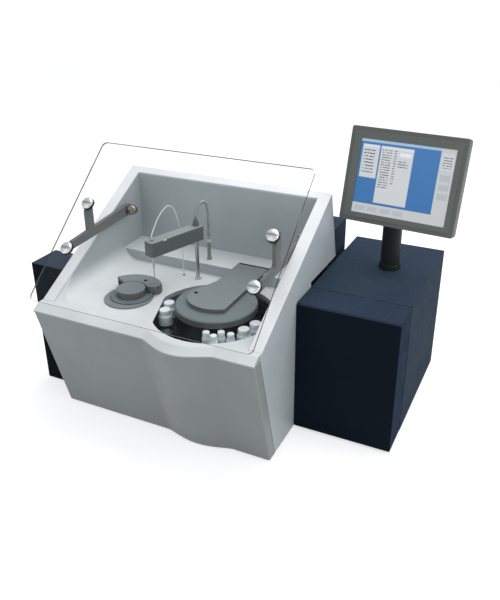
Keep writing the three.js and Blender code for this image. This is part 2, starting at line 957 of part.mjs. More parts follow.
function reagentRotor() {
  const hubTop = rotorBase + rotorHubHeight;
  const bore = shaftRadius + fit;
  const body = turned(rotorX, rotorY, [
    [bore, rotorBase],
    [rotorRadius, rotorBase],
    [rotorRadius, rotorBase + rotorFloor],
    [rackWallOuter, rotorBase + rotorFloor],
    [rackWallOuter, rackUnder],
    [rotorRadius, rackUnder],
    [rotorRadius, rackTop],
    [rackWallOuter - rackWall, rackTop],
    [rackWallOuter - rackWall, rotorBase + rotorFloor],
    [rotorHubRadius, rotorBase + rotorFloor],
    [rotorHubRadius, hubTop],
    [bore, hubTop],
  ]);
  const hole = ([x, y], radius) => (
    rod(x, y, rackUnder - overrun, rackTop + overrun, radius, smallRound)
  );
  const { large, small } = bottlePlaces();
  return cut(
    body,
    ...large.map((place) => hole(place, largeBottleRadius + runningGap)),
    ...small.map((place) => hole(place, smallBottleRadius + slideFit)),
  );
}

function reagentShaft() {
  const shaft = rod(rotorX, rotorY, pulleyUnder - wall, rotorBase + rotorHubHeight, shaftRadius);
  const pulley = rod(rotorX, rotorY, pulleyUnder, pulleyTop, pulleyRadius);
  return join(shaft, pulley);
}

function reagentMotor() {
  const [x, y] = motorCentre;
  const side = reagentMotorWidth / 2;
  const top = tubFloorUnder - fit;
  return box(x - side, x + side, y - side, y + side, top - reagentMotorHeight, top);
}

function motorPulley() {
  const shaftTop = tubFloorUnder - reagentMotorHeight - 2 * fit;
  return join(
    rod(...motorCentre, pulleyUnder, pulleyTop, motorPulleyRadius, smallRound),
    rod(...motorCentre, pulleyUnder, shaftTop, motorShaftRadius, tinyRound),
  );
}

function beltOutline(gap) {
  const large = pulleyRadius + gap;
  const small = motorPulleyRadius + gap;
  const spread = THREE.MathUtils.radToDeg(Math.acos((large - small) / beltCentres));
  const from = motorDirection + spread;
  const to = motorDirection - spread;
  return [
    ...arc(rotorX, rotorY, large, from, to + 360, mediumRound),
    ...arc(...motorCentre, small, to, from, tinyRound),
  ];
}

function driveBelt() {
  const z0 = pulleyUnder + beltMargin;
  const z1 = pulleyTop - beltMargin;
  return cut(
    plate(beltOutline(slideFit + beltThickness), z0, z1),
    plate(beltOutline(slideFit), z0 - overrun, z1 + overrun),
  );
}

function bottle([x, y], radius, neckRadius) {
  const neckUnder = bottleFoot + bottleHeight - bottleNeckHeight;
  const shoulder = radius - neckRadius;
  const capUnder = neckUnder + shoulder / 2 + bottleCapRise;
  const top = bottleFoot + bottleHeight;
  return turned(x, y, [
    [0, bottleFoot],
    [radius, bottleFoot],
    [radius, neckUnder - shoulder / 2],
    [neckRadius - bottleCapRise / 2, neckUnder + shoulder / 2],
    [neckRadius - bottleCapRise / 2, capUnder],
    [neckRadius, capUnder],
    [neckRadius, top],
    [0, top],
  ], smallRound);
}

function reagentCover() {
  const under = deckZ + coverRise;
  const top = under + coverHeight - fit;
  const shell = turned(rotorX, rotorY, [
    [0, top - wall],
    [coverRadius - wall, top - wall],
    [coverRadius - wall, under],
    [coverRadius, under],
    [coverRadius, top],
    [0, top],
  ]);
  return cut(shell, rod(...reagentHole, under, top + overrun, probeHoleRadius, smallRound));
}

function coverSlab() {
  const body = plate(slabOutline(0), slabUnder, slabTop);
  const hole = rod(...reagentHole, slabUnder - overrun, slabTop + overrun, probeHoleRadius, smallRound);
  return cut(body, hole);
}

// Bottles that stand together on one curved carrier strip
function bottleRow(angles, ringOf, radius, neckRadius) {
  const strip = [carrierWidth / 2, -carrierWidth / 2].flatMap((side, i) => (
    arc(
      rotorX,
      rotorY,
      largeBottleRing + side,
      angles[i ? angles.length - 1 : 0],
      angles[i ? 0 : angles.length - 1],
      filletSteps,
    )
  ));
  const bottles = angles.map((angle, i) => (
    bottle(onCircle(rotorX, rotorY, ringOf(i), angle), radius, neckRadius)
  ));
  return join(plate(strip, bottleFoot, bottleFoot + carrierThickness), ...bottles);
}

function smallRing(i) {
  return smallBottleRings[i % smallBottleRings.length];
}

function largeRow(angles) {
  return bottleRow(angles, () => largeBottleRing, largeBottleRadius, largeNeckRadius);
}

function smallRow(angles) {
  return bottleRow(angles, smallRing, smallBottleRadius, smallNeckRadius);
}

add('reagent_tub', reagentTub(), black);
add('reagent_rotor', reagentRotor(), black);
add('reagent_shaft', reagentShaft(), steel);
add('reagent_motor', reagentMotor(), darkSteel);
add('motor_pulley', motorPulley(), steel);
add('drive_belt', driveBelt(), rubber);
add('large_bottles_left', largeRow(filledLargeLeft), bottlePlastic);
add('large_bottles_right', largeRow(filledLargeRight), bottlePlastic);
add('small_bottles', smallRow(smallBottleAngles), bottlePlastic);
add('reagent_cover', reagentCover(), discGrey);
add('cover_slab', coverSlab(), discGrey);

// Cuvette rotor

const ringUnder = bowlFloorTop + 2 * bowlWall;
const ringTop = ringUnder + ringHeight;
const hubTop = ringUnder + ringHubHeight;
const capTop = deckZ + capTopRise;
const shieldTop = capTop;

function cuvetteDish() {
  const seat = deckZ + fit;
  const bore = motorShaftRadius + slideFit;
  const bowl = turned(cuvetteX, cuvetteY, [
    [bore, bowlFloorUnder],
    [bowlOuter, bowlFloorUnder],
    [bowlOuter, seat],
    [bowlOuter + flangeOverlap, seat],
    [bowlOuter + flangeOverlap, seat + flangeThickness],
    [bowlInner, seat + flangeThickness],
    [bowlInner, bowlFloorTop],
    [bore, bowlFloorTop],
  ]);
  const flangeTop = seat + flangeThickness;
  const flange = rod(cuvetteX, cuvetteY + flangeShiftY, seat, flangeTop, flangeRadius, largeRound);
  const opening = rod(cuvetteX, cuvetteY, seat - overrun, seat + overrun, bowlInner, largeRound);
  return join(bowl, cut(flange, opening));
}

function cuvetteRing() {
  const body = turned(cuvetteX, cuvetteY, [
    [0, bowlFloorUnder + fit],
    [motorShaftRadius, bowlFloorUnder + fit],
    [motorShaftRadius, ringUnder],
    [ringOuter, ringUnder],
    [ringOuter, ringTop],
    [ringInner, ringTop],
    [ringInner, ringUnder + ringFloor],
    [ringHubRadius, ringUnder + ringFloor],
    [ringHubRadius, hubTop],
    [0, hubTop],
  ]);
  const pockets = Array.from({ length: cuvetteCount }, (_, i) => {
    const geometry = new THREE.BoxGeometry(cuvetteLength, cuvetteWidth, ringHeight);
    geometry.translate(ringRadius - cuvetteSetIn, 0, ringUnder + cuvetteFloor + ringHeight / 2);
    geometry.rotateZ(toRadians(cuvetteHoleDirection + (360 * i) / cuvetteCount));
    geometry.translate(cuvetteX, cuvetteY, 0);
    return solid(geometry);
  });
  return cut(body, ...pockets);
}

function cuvetteCap() {
  const foot = hubTop + fit;
  return turned(cuvetteX, cuvetteY, [
    [0, foot],
    [ringHubRadius, foot],
    [ringHubRadius, capTop - capThickness],
    [capRadius, capTop - capThickness],
    [capRadius, capTop],
    [0, capTop],
  ]);
}

function crescent(inner, outer) {
  return [
    ...arc(cuvetteX, cuvetteY, outer, shieldFrom, shieldTo, shieldSteps),
    ...arc(cuvetteX, cuvetteY, inner, shieldTo, shieldFrom, shieldSteps),
  ];
}

function cuvetteShield() {
  const plateUnder = shieldTop - shieldThickness;
  const body = join(
    plate(crescent(shieldInner, shieldOuter), plateUnder, shieldTop),
    plate(crescent(shieldOuter - shieldSkirt, shieldOuter), deckZ + fit, shieldTop),
  );
  const hole = rod(...cuvetteHole, plateUnder - overrun, shieldTop + overrun, probeHoleRadius, smallRound);
  return cut(body, hole);
}

function cuvetteMotor() {
  const side = cuvetteMotorWidth / 2;
  const top = bowlFloorUnder - fit;
  const x = cuvetteX;
  return box(x - side, x + side, cuvetteY - side, cuvetteY + side, top - cuvetteMotorHeight, top);
}

function photometerBlock() {
  const right = cuvetteX - bowlOuter - bowlSeatGap / 2;
  const top = deckUnder - fit;
  const left = right - photometerLength;
  const width = photometerWidth / 2;
  return box(left, right, cuvetteY - width, cuvetteY + width, top - photometerHeight, top);
}

function washWell() {
  const seat = deckZ + fit;
  return turned(...washPlace, [
    [washBoreRadius, seat + washRise],
    [washBoreRadius, deckZ - washDepth + wall],
    [0, deckZ - washDepth + wall],
    [0, deckZ - washDepth],
    [washTubeRadius, deckZ - washDepth],
    [washTubeRadius, seat],
    [washCollarRadius, seat],
    [washCollarRadius, seat + washRise],
  ], smallRound);
}

add('cuvette_dish', cuvetteDish(), discGrey);
add('cuvette_ring', cuvetteRing(), black);
add('cuvette_cap', cuvetteCap(), discGrey);
add('cuvette_shield', cuvetteShield(), discGrey);
add('cuvette_motor', cuvetteMotor(), darkSteel);
add('photometer_block', photometerBlock(), darkSteel);
add('wash_well', washWell(), bottlePlastic);

// Lift under the deck

const guideTopZ = deckZ - guideTopGap;
const guideLeft = columnX + guideFrontMargin - guideWidth;
const guideRight = columnX + guideFrontMargin;
const guideFront = columnY - guideFrontMargin;
const guideRear = guideFront + guideDepth;
const guideShelfTop = guideBottomZ + guidePlate;
const screwY = columnY + screwOffsetY;
const screwFoot = guideBottomZ + wall;
const nutUnder = columnBottomZ + nutRise;

function liftGuide() {
  const foot = baseTop + fit;
  const backRear = guideRear + guideBackThickness;
  const back = box(guideLeft, guideRight, guideRear, backRear, foot, guideTopZ);
  const lower = box(guideLeft, guideRight, guideFront, guideRear + wall, guideBottomZ, guideShelfTop);
  const upper = box(guideLeft, guideRight, guideFront, guideRear + wall, guideTopZ - guidePlate, guideTopZ);
  const side = liftMotorWidth / 2;
  const motor = box(columnX - side, columnX + side, screwY - side, screwY + side, foot, screwFoot - fit);
  const z1 = guideTopZ + overrun;
  return cut(
    join(back, lower, upper, motor),
    rod(columnX, columnY, guideShelfTop + overrun, z1, columnRadius + runningGap, smallRound),
    rod(columnX, screwY, screwFoot - fit, z1, screwRadius + slideFit, smallRound),
  );
}

function liftNut() {
  const side = nutWidth / 2;
  const body = box(
    columnX - side,
    columnX + side,
    columnY - nutMargin,
    screwY + nutMargin,
    nutUnder,
    nutUnder + nutHeight,
  );
  const z0 = nutUnder - overrun;
  const z1 = nutUnder + nutHeight + overrun;
  return cut(
    body,
    rod(columnX, columnY, z0, z1, columnRadius + fit, smallRound),
    rod(columnX, screwY, z0, z1, screwRadius + slideFit, smallRound),
  );
}

add('arm_column', rod(columnX, columnY, columnBottomZ, armTop + fit, columnRadius, smallRound), steel);
add('lift_guide', liftGuide(), boxGrey);
add('lift_screw', rod(columnX, screwY, screwFoot, guideTopZ - wall, screwRadius, smallRound), steel);
add('lift_nut', liftNut(), brass);

// Pipetting arm, drawn along +X from the column's axis

const arm = new THREE.Group();
arm.position.set(columnX, columnY, 0);
arm.rotation.z = toRadians(armRestTurn);
analyzer.add(arm);

const probeTip = deckZ + probeRise;
const needleTop = probeTip + probeNeedleLength;
const probeTop = armTop + fit + probeFittingHeight;

function armChassis() {
  const side = armWidth / 2 - armShell - fit;
  const end = armEnd - armShell - fit;
  const hubTopZ = armUnder + chassisHeight;
  const base = box(-end, reach + end, -side, side, armUnder, armUnder + chassisThickness);
  const hub = rod(0, 0, armUnder, hubTopZ, chassisHubRadius, smallRound);
  const holder = rod(reach, 0, armUnder, hubTopZ, chassisHubRadius, smallRound);
  return cut(
    join(base, hub, holder),
    rod(0, 0, armUnder - overrun, hubTopZ + overrun, columnRadius + slideFit, smallRound),
    rod(reach, 0, armUnder - overrun, hubTopZ + overrun, probeSleeveRadius + fit, smallRound),
  );
}

function armCover() {
  const side = armWidth / 2;
  const inner = side - armShell;
  const top = armTop - armShell;
  return cut(
    box(-armEnd, reach + armEnd, -side, side, armUnder, armTop),
    box(-armEnd + armShell, reach + armEnd - armShell, -inner, inner, armUnder - overrun, top),
    rod(0, 0, top - overrun, armTop + overrun, columnRadius + slideFit, smallRound),
    rod(reach, 0, top - overrun, armTop + overrun, probeSleeveRadius + fit, smallRound),
  );
}

function probe() {
  const seat = armTop + fit;
  return turned(reach, 0, [
    [0, probeTip],
    [probeNeedleRadius, probeTip],
    [probeNeedleRadius, needleTop],
    [probeSleeveRadius, needleTop + probeSleeveRadius],
    [probeSleeveRadius, seat],
    [probeFittingRadius, seat],
    [probeFittingRadius, probeTop - probeSleeveRadius],
    [probeSleeveRadius, probeTop],
    [0, probeTop],
  ], tinyRound);
}

add('arm_chassis', armChassis(), steel, arm);
add('arm_cover', armCover(), armGrey, arm);
add('probe', probe(), steel, arm);

// Gland, hose and clear tube on the lifting column

const glandUnder = armTop + 2 * fit;
const glandTop = glandUnder + glandHeight;
const hoseGuideTop = ledgeZ + hoseGuideRise;

// The hose climbs from the gland and turns down into its guide tube
const hoseRoute = [
  [columnX, columnY, glandTop + fit],
  [columnX, columnY + 0.2, glandTop + 6],
  [-8.3, 71.5, 461.5],
  [-8.6, 80.5, 470],
  [-8.9, 93.5, 474],
  [-9.2, 107, 471],
  [-9.4, 117.5, 462],
  [-9.6, 124, 448],
  [hoseGuideX, hoseGuideY, 437],
  [hoseGuideX, hoseGuideY, 425],
  [hoseGuideX, hoseGuideY, 400],
  [hoseGuideX, hoseGuideY, 340],
];

// The clear tube leaves the top of the probe, loops under the glass and goes down through the deck
const clearTubeRoute = [
  [...washPlace, probeTop + fit],
  [-47.6, -53, 441],
  [-49.5, -42, 453],
  [-51.6, -26, 466],
  [-51.4, -11, 478.5],
  [-49.8, 1, 485],
  [-48.2, 15, 487],
  [-47.6, 32, 478],
  [-47.8, 46, 458],
  [-48.1, 58, 425],
  [-48.2, 66, 390],
  [clearTubeX, clearTubeY, 362],
  [clearTubeX, clearTubeY, 330],
  [clearTubeX, clearTubeY, 276],
];

function ribbedHose() {
  const path = new THREE.CatmullRomCurve3(hoseRoute.map((p) => new THREE.Vector3(...p)));
  const rings = 2 * hoseRibs + 1;
  const frames = path.computeFrenetFrames(rings - 1, false);
  const positions = [];
  const triangles = [];
  const addRing = (station, radius) => {
    const centre = path.getPointAt(station / (rings - 1));
    for (let side = 0; side < hoseSides; side += 1) {
      const angle = (2 * Math.PI * side) / hoseSides;
      const point = centre.clone()
        .addScaledVector(frames.normals[station], radius * Math.cos(angle))
        .addScaledVector(frames.binormals[station], radius * Math.sin(angle));
      positions.push(point.x, point.y, point.z);
    }
    return positions.length / 3 - hoseSides;
  };
  const outer = Array.from({ length: rings }, (_, i) => addRing(i, i % 2 ? hoseRadius : hoseGroove));
  const boreStations = [];
  for (let i = rings - 1; i > 0; i -= 2 * hoseBoreStep) boreStations.push(i);
  boreStations.push(0);
  const inner = boreStations.map((i) => addRing(i, hoseBore));
  const loop = [...outer, ...inner, outer[0]];
  for (let i = 0; i + 1 < loop.length; i += 1) {
    for (let side = 0; side < hoseSides; side += 1) {
      const next = (side + 1) % hoseSides;
      const [a, b] = [loop[i] + side, loop[i] + next];
      const [c, d] = [loop[i + 1] + side, loop[i + 1] + next];
      triangles.push(a, b, d, a, d, c);
    }
  }
  const geometry = new THREE.BufferGeometry();
  geometry.setAttribute('position', new THREE.Float32BufferAttribute(positions, 3));
  geometry.setIndex(triangles);
  return solid(geometry);
}

function hoseGuideTube() {
  const seat = ledgeZ + fit;
  return turned(hoseGuideX, hoseGuideY, [
    [hoseGuideBore, ledgeZ - hoseGuideDrop],
    [hoseGuideRadius, ledgeZ - hoseGuideDrop],
    [hoseGuideRadius, seat],
    [hoseGuideCollar, seat],
    [hoseGuideCollar, seat + hoseGuideCollarHeight],
    [hoseGuideRadius, seat + hoseGuideCollarHeight],
    [hoseGuideRadius, hoseGuideTop],
    [hoseGuideBore, hoseGuideTop],
  ], smallRound);
}

function columnGland() {
  return rod(columnX, columnY, glandUnder, glandTop, glandRadius, smallRound, glandTopRadius);
}

add('column_gland', columnGland(), black);
add('ribbed_hose', ribbedHose(), darkSteel);
add('hose_guide_tube', hoseGuideTube(), armGrey);
add('clear_tube', tube(clearTubeRoute, clearTubeRadius, clearTubeSteps, clearTubeSides), bottlePlastic);

// Lid: a glass pane in its own tilted plane, on two arms

const lidFrontY = browY - lidFrontGapY;
const lidFrontZ = deckZ + lidFrontRise;
const lidAngle = toRadians(lidTilt);
const lidUnderZ = (y) => lidFrontZ + (y - lidFrontY) * Math.tan(lidAngle);
const lidArmX = half - lidArmInset;
const lidPivotY = riserY + lidPivotBackY;
const lidPivotZ = deckZ + lidPivotRise;
const lidPane = new THREE.Group();
lidPane.position.set(0, lidFrontY, lidFrontZ);
lidPane.rotation.x = lidAngle;
analyzer.add(lidPane);

const knobPlaces = [-lidArmX, lidArmX].flatMap((x) => [
  [x, knobFrontAlong],
  [x, knobRearAlong],
]);

function roundedRectangle(x0, x1, y0, y1, radius, steps) {
  return [
    ...arc(x1 - radius, y1 - radius, radius, 0, 90, steps),
    ...arc(x0 + radius, y1 - radius, radius, 90, 180, steps),
    ...arc(x0 + radius, y0 + radius, radius, 180, 270, steps),
    ...arc(x1 - radius, y0 + radius, radius, 270, 360, steps),
  ];
}

function lidGlass() {
  const width = half - lidSideGap;
  const pane = plate(roundedRectangle(-width, width, 0, lidLength, lidCornerRadius, 5), 0, lidThickness);
  const holes = knobPlaces.map(([x, y]) => (
    rod(x, y, -overrun, lidThickness + overrun, stemRadius + fit, smallRound)
  ));
  return cut(pane, ...holes);
}

// A domed knob, its washer and the stem that passes through the glass
function knob([x, y]) {
  const washerFoot = lidThickness + fit;
  const seat = washerFoot + washerThickness;
  return turned(x, y, [
    [0, 0],
    [stemRadius, 0],
    [stemRadius, washerFoot],
    [washerRadius, washerFoot],
    [washerRadius, seat],
    [knobRadius, seat],
    [knobRadius, seat + knobEdge],
    [knobRadius - knobEdge / 2, seat + knobHeight - knobEdge],
    [knobRadius - knobEdge * 2, seat + knobHeight],
    [0, seat + knobHeight],
  ], mediumRound);
}

function lidArm(x) {
  const x0 = x - lidArmThickness / 2;
  const x1 = x + lidArmThickness / 2;
  const clearance = fit / Math.cos(lidAngle);
  const frontY = lidFrontY + (knobFrontAlong - washerRadius) * Math.cos(lidAngle);
  const frontTop = lidPivotZ - lidArmFrontSag;
  const branchY = lidFrontY + knobRearAlong * Math.cos(lidAngle);
  const profile = sidePlate([
    [lidPivotY, lidPivotZ - lidArmEyeRadius],
    [lidPivotY, lidPivotZ + lidArmEyeRadius],
    [frontY + lidBranchWidth, frontTop],
    [frontY + lidBranchWidth, frontTop + lidArmEyeRadius],
    [frontY, frontTop + lidArmEyeRadius],
    [frontY, frontTop - lidArmFrontHeight],
  ], x0, x1);
  const branch = box(
    x0,
    x1,
    branchY - lidBranchWidth / 2,
    branchY + lidBranchWidth / 2,
    lidPivotZ - lidArmFrontDrop,
    lidPivotZ + lidPivotRise,
  );
  const eye = rodAlongX(x0, x1, lidPivotY, lidPivotZ, lidArmEyeRadius);
  const rear = lidFrontY + lidLength;
  const above = sidePlate([
    [lidFrontY - overrun, lidUnderZ(lidFrontY - overrun) - clearance],
    [rear, lidUnderZ(rear) - clearance],
    [rear, farCut],
    [lidFrontY - overrun, farCut],
  ], x0 - overrun, x1 + overrun);
  const bore = pivotPinRadius + slideFit;
  const hole = rodAlongX(x0 - overrun, x1 + overrun, lidPivotY, lidPivotZ, bore, smallRound);
  return cut(join(profile, branch, eye), above, hole);
}

function lidPivot(side) {
  const wallFace = chamberHalf - fit;
  const armOuter = lidArmX + lidArmThickness / 2 + slideFit;
  const armInner = lidArmX - lidArmThickness / 2 - slideFit;
  const parts = [
    [armOuter, wallFace, pivotHeadRadius, pivotHeadRadius],
    [armInner - pivotHeadLength / 2, wallFace, pivotPinRadius, pivotPinRadius],
    [armInner - pivotHeadLength, armInner, pivotHeadRadius, pivotHeadRadius],
  ];
  const pieces = parts.map(([x0, x1, radius]) => (
    side > 0
      ? rodAlongX(x0, x1, lidPivotY, lidPivotZ, radius)
      : rodAlongX(-x1, -x0, lidPivotY, lidPivotZ, radius)
  ));
  return join(...pieces);
}

add('lid_glass', lidGlass(), glass, lidPane);
knobPlaces.forEach((place, i) => add(`lid_knob_${i + 1}`, knob(place), chrome, lidPane));
add('lid_arm_left', lidArm(-lidArmX), armGrey);
add('lid_arm_right', lidArm(lidArmX), armGrey);
add('lid_pivot_left', lidPivot(-1), darkSteel);
add('lid_pivot_right', lidPivot(1), darkSteel);

// Right cabinet with its swinging door

const doorLeft = cabinetLeft + doorGap;
const doorRear = doorFrontY + doorDepth - fit;
const doorFoot = footHeight + doorBottomGap;
const hingeCentres = [doorFoot + hingeEndDistance, cabinetTopZ - hingeEndDistance];

function cabinetShell() {
  const shell = cut(
    box(cabinetLeft, cabinetRight, cabinetFrontY, cabinetRearY, footHeight, cabinetTopZ),
    box(
      cabinetLeft + cabinetWall,
      cabinetRight - cabinetWall,
      cabinetFrontY - overrun,
      cabinetRearY - cabinetWall,
      footHeight + cabinetWall,
      cabinetTopZ - cabinetWall,
    ),
  );
  const groove = rod(hingeX, hingeY, 0, farCut, hingeGroove);
  const vents = ventSlots((cabinetLeft + cabinetRight) / 2, cabinetTopZ / 2, cabinetRearY);
  const cabinetFeet = feet(
    [cabinetLeft + footInset, cabinetRight - footInset],
    [cabinetFrontY + footInset, cabinetRearY - footInset],
  );
  return join(cut(shell, groove, ...vents), cabinetFeet);
}

function cabinetDoor() {
  const shell = cut(
    sidePlate([
      [doorFrontY, doorFoot],
      [doorRear, doorFoot],
      [doorRear, cabinetTopZ],
      [doorFrontY + doorChamfer, cabinetTopZ],
      [doorFrontY, cabinetTopZ - doorChamfer],
    ], doorLeft, cabinetRight),
    box(
      doorLeft + doorWall,
      cabinetRight - doorWall - hingeRadius,
      doorFrontY + doorWall,
      doorRear + overrun,
      doorFoot + doorWall,
      cabinetTopZ - doorWall,
    ),
  );
  const windows = hingeCentres.map((z) => (
    rod(hingeX, hingeY, z - hingeLength / 2 - fit, z + fit / 2, hingeWindow)
  ));
  const knuckles = hingeCentres.map((z) => (
    rod(hingeX, hingeY, z + fit / 2, z + hingeLength / 2, hingeRadius, smallRound)
  ));
  return join(cut(shell, ...windows), ...knuckles);
}

// One leaf strip on the cabinet's wall carries both fixed knuckles
function doorHinge() {
  const leafRight = cabinetRight - cabinetWall - fit;
  const leafRear = hingeY + hingeLeafLength;
  const stripFront = hingeY + hingeRadius + slideFit;
  const foot = hingeCentres[0] - hingeLength / 2;
  const top = hingeCentres[1] - fit / 2;
  const strip = box(leafRight - hingeLeaf, leafRight, stripFront, leafRear, foot, top);
  const knuckles = hingeCentres.flatMap((z) => {
    const z0 = z - hingeLength / 2;
    const z1 = z - fit / 2;
    return [
      rod(hingeX, hingeY, z0, z1, hingeRadius, smallRound),
      box(leafRight - hingeLeaf, leafRight, hingeY, leafRear, z0, z1),
    ];
  });
  return join(strip, ...knuckles);
}

function computerUnit() {
  const [wide, deep, high] = computerSize;
  const [driveWide, driveHigh] = computerDriveSize;
  const x = (cabinetLeft + cabinetRight) / 2;
  const front = cabinetFrontY + computerFrontGap;
  const foot = footHeight + cabinetWall + fit;
  const driveZ = foot + high - 2 * driveHigh;
  return join(
    box(x - wide / 2, x + wide / 2, front, front + deep, foot, foot + high),
    box(x - driveWide / 2, x + driveWide / 2, front - wall, front + wall, driveZ, driveZ + driveHigh),
  );
}

add('cabinet_shell', cabinetShell(), navy);
add('cabinet_door', cabinetDoor(), navy);
add('door_hinge', doorHinge(), darkSteel);
add('computer_unit', computerUnit(), boxGrey);

// Power and cooling in the rear housing

const fanRear = baseRearY - wall - fit;

function fanFrame() {
  const side = fanSize / 2;
  const front = fanRear - fanDepth;
  const body = box(fanX - side, fanX + side, front, fanRear, fanZ - side, fanZ + side);
  const throat = rodAlongY(front - overrun, fanRear + overrun, fanX, fanZ, fanRing);
  const strut = box(fanX - fanRing, fanX + fanRing, fanRear - wall, fanRear, fanZ - wall, fanZ + wall);
  const post = box(fanX - wall, fanX + wall, fanRear - wall, fanRear, fanZ - fanRing, fanZ + fanRing);
  const seat = rodAlongY(fanRear - wall, fanRear, fanX, fanZ, fanHubRadius);
  return join(cut(body, throat), strut, post, seat);
}

function fanRotor() {
  const rear = fanRear - wall - fit;
  const front = fanRear - fanDepth + wall;
  const hub = rodAlongY(front, rear, fanX, fanZ, fanHubRadius, smallRound);
  const blades = Array.from({ length: fanBladeCount }, (_, i) => {
    const length = fanRing - fanTipGap - fanHubRadius + wall;
    const geometry = new THREE.BoxGeometry(fanBladeWidth, fanBladeThickness, length);
    geometry.rotateZ(toRadians(fanBladeTwist));
    geometry.translate(0, 0, fanHubRadius - wall + length / 2);
    geometry.rotateY((2 * Math.PI * i) / fanBladeCount);
    geometry.translate(fanX, (front + rear) / 2, fanZ);
    return solid(geometry);
  });
  return join(hub, ...blades);
}

const inletFace = baseRearY + inletProud;

function boxBehind(x, z, [wide, deep, high], rear) {
  return box(x - wide / 2, x + wide / 2, rear - deep, rear, z - high / 2, z + high / 2);
}

// The supply's rear boss passes through the housing and holds the inlet and the switch
function powerSupply() {
  const [wide, deep, high] = supplySize;
  const rear = baseRearY - wall - fit;
  const foot = baseTop + fit;
  const [bossWide, bossHigh] = inletBody;
  const socketX = inletX + inletSocketShift;
  const switchX = inletX + switchShift;
  const floor = inletFace - inletSocket[1];
  const open = (size) => [size[0], size[1] + overrun, size[2]];
  const pins = [-1, 0, 1].map((place) => rodAlongY(
    floor - wall,
    inletFace - inletPinRecess,
    socketX + place * inletPinSpread,
    inletZ + (place === 0 ? inletPinSpread / 2 : -inletPinSpread / 2),
    inletPinRadius,
    tinyRound,
  ));
  const body = join(
    box(supplyLeft, supplyLeft + wide, rear - deep, rear, foot, foot + high),
    boxBehind(inletX, inletZ, [bossWide, wall * 3, bossHigh], inletFace),
  );
  return join(
    cut(
      body,
      boxBehind(socketX, inletZ, open(inletSocket), inletFace + overrun),
      boxBehind(switchX, inletZ, open(switchWindow), inletFace + overrun),
    ),
    ...pins,
  );
}

function powerSwitch() {
  const x = inletX + switchShift;
  const face = inletFace + rockerDish;
  const rear = inletFace - rockerDepth;
  const high = rockerHeight / 2;
  return sidePlate([
    [rear, inletZ - high / 2],
    [inletFace - rockerDish, inletZ - high],
    [face, inletZ - high],
    [inletFace, inletZ],
    [face, inletZ + high],
    [inletFace - rockerDish, inletZ + high],
    [rear, inletZ + high / 2],
  ], x - rockerWidth / 2, x + rockerWidth / 2);
}

add('power_supply', powerSupply(), boxGrey);
add('fan_frame', fanFrame(), black);
add('fan_rotor', fanRotor(), black);
add('power_switch', powerSwitch(), rubber);

// Monitor: base and column, then the head drawn upright about its tilt pin

const swivel = new THREE.Group();
swivel.position.set(monitorColumnX, monitorColumnY, 0);
swivel.rotation.z = toRadians(monitorYaw);
analyzer.add(swivel);

const head = new THREE.Group();
head.position.set(0, 0, monitorPivotZ);
head.rotation.x = toRadians(-monitorTilt);
swivel.add(head);

function monitorBase() {
  const seat = cabinetTopZ + fit;
  const top = seat + monitorBaseHeight;
  return turned(monitorColumnX, monitorColumnY, [
    [0, seat],
    [monitorBaseRadius, seat],
    [monitorBaseRadius, top - wall],
    [monitorBaseRadius - wall, top],
    [monitorSpigotRadius, top],
    [monitorSpigotRadius, top + monitorSpigotHeight],
    [0, top + monitorSpigotHeight],
  ], mediumRound);
}

function monitorColumn() {
  const foot = cabinetTopZ + monitorBaseHeight + 2 * fit;
  const postTop = monitorPivotZ - monitorNeckDrop;
  const neckTop = monitorPivotZ - monitorBarrelRadius - monitorNeckGap;
  const wide = monitorNeckWidth / 2;
  const deep = monitorNeckDepth / 2;
  const earInner = wide - monitorEarThickness;
  const earTop = monitorPivotZ + monitorBarrelRadius;
  const post = rod(0, 0, foot, postTop, monitorColumnRadius, mediumRound);
  const neck = box(-wide, wide, -deep, deep, postTop - wall, neckTop);
  const ears = [[-wide, -earInner], [earInner, wide]].map(([x0, x1]) => (
    box(x0, x1, -deep, deep, neckTop - wall, earTop)
  ));
  const pin = rodAlongX(-wide + wall, wide - wall, 0, monitorPivotZ, monitorPinRadius, smallRound);
  const socket = rod(
    0,
    0,
    foot - overrun,
    foot + monitorSpigotHeight + runningGap,
    monitorSpigotRadius + slideFit,
    mediumRound,
  );
  return cut(join(post, neck, ...ears, pin), socket);
}

// The head's X runs along the pin, its Y into the housing and its Z up the screen
const headFront = -monitorForward;
const headBack = headFront + monitorDepth;
const headLeft = monitorCentreX - monitorWidth / 2;
const headRight = monitorCentreX + monitorWidth / 2;
const headFoot = monitorCentreZ - monitorHeight / 2;
const headTop = monitorCentreZ + monitorHeight / 2;
const screenX = monitorCentreX + screenShiftX;
const screenZ = monitorCentreZ + screenShiftZ;
const bezelBack = headFront + monitorBezelDepth;

// A rounded rectangle that stands in X and Z, from y0 to y1
function upright(x0, x1, z0, z1, radius, y0, y1) {
  const shape = outlineShape(roundedRectangle(x0, x1, z0, z1, radius, 4));
  const geometry = new THREE.ExtrudeGeometry(shape, { depth: y1 - y0, bevelEnabled: false });
  geometry.rotateX(Math.PI / 2);
  geometry.translate(0, y1, 0);
  return solid(geometry);
}

function screenWindow(grow, y0, y1) {
  return box(
    screenX - screenWidth / 2 - grow,
    screenX + screenWidth / 2 + grow,
    y0,
    y1,
    screenZ - screenHeight / 2 - grow,
    screenZ + screenHeight / 2 + grow,
  );
}

function monitorBezel() {
  const edge = monitorBezelMargin;
  const front = headFront + monitorBezelStep;
  return cut(
    join(
      upright(headLeft, headRight, headFoot, headTop, monitorCorner, front, bezelBack),
      upright(
        headLeft + edge,
        headRight - edge,
        headFoot + edge,
        headTop - edge,
        wall,
        headFront,
        bezelBack,
      ),
    ),
    screenWindow(0, headFront - overrun, bezelBack + overrun),
    screenWindow(panelMargin + fit, headFront + screenRecess + wall - fit, bezelBack + overrun),
  );
}

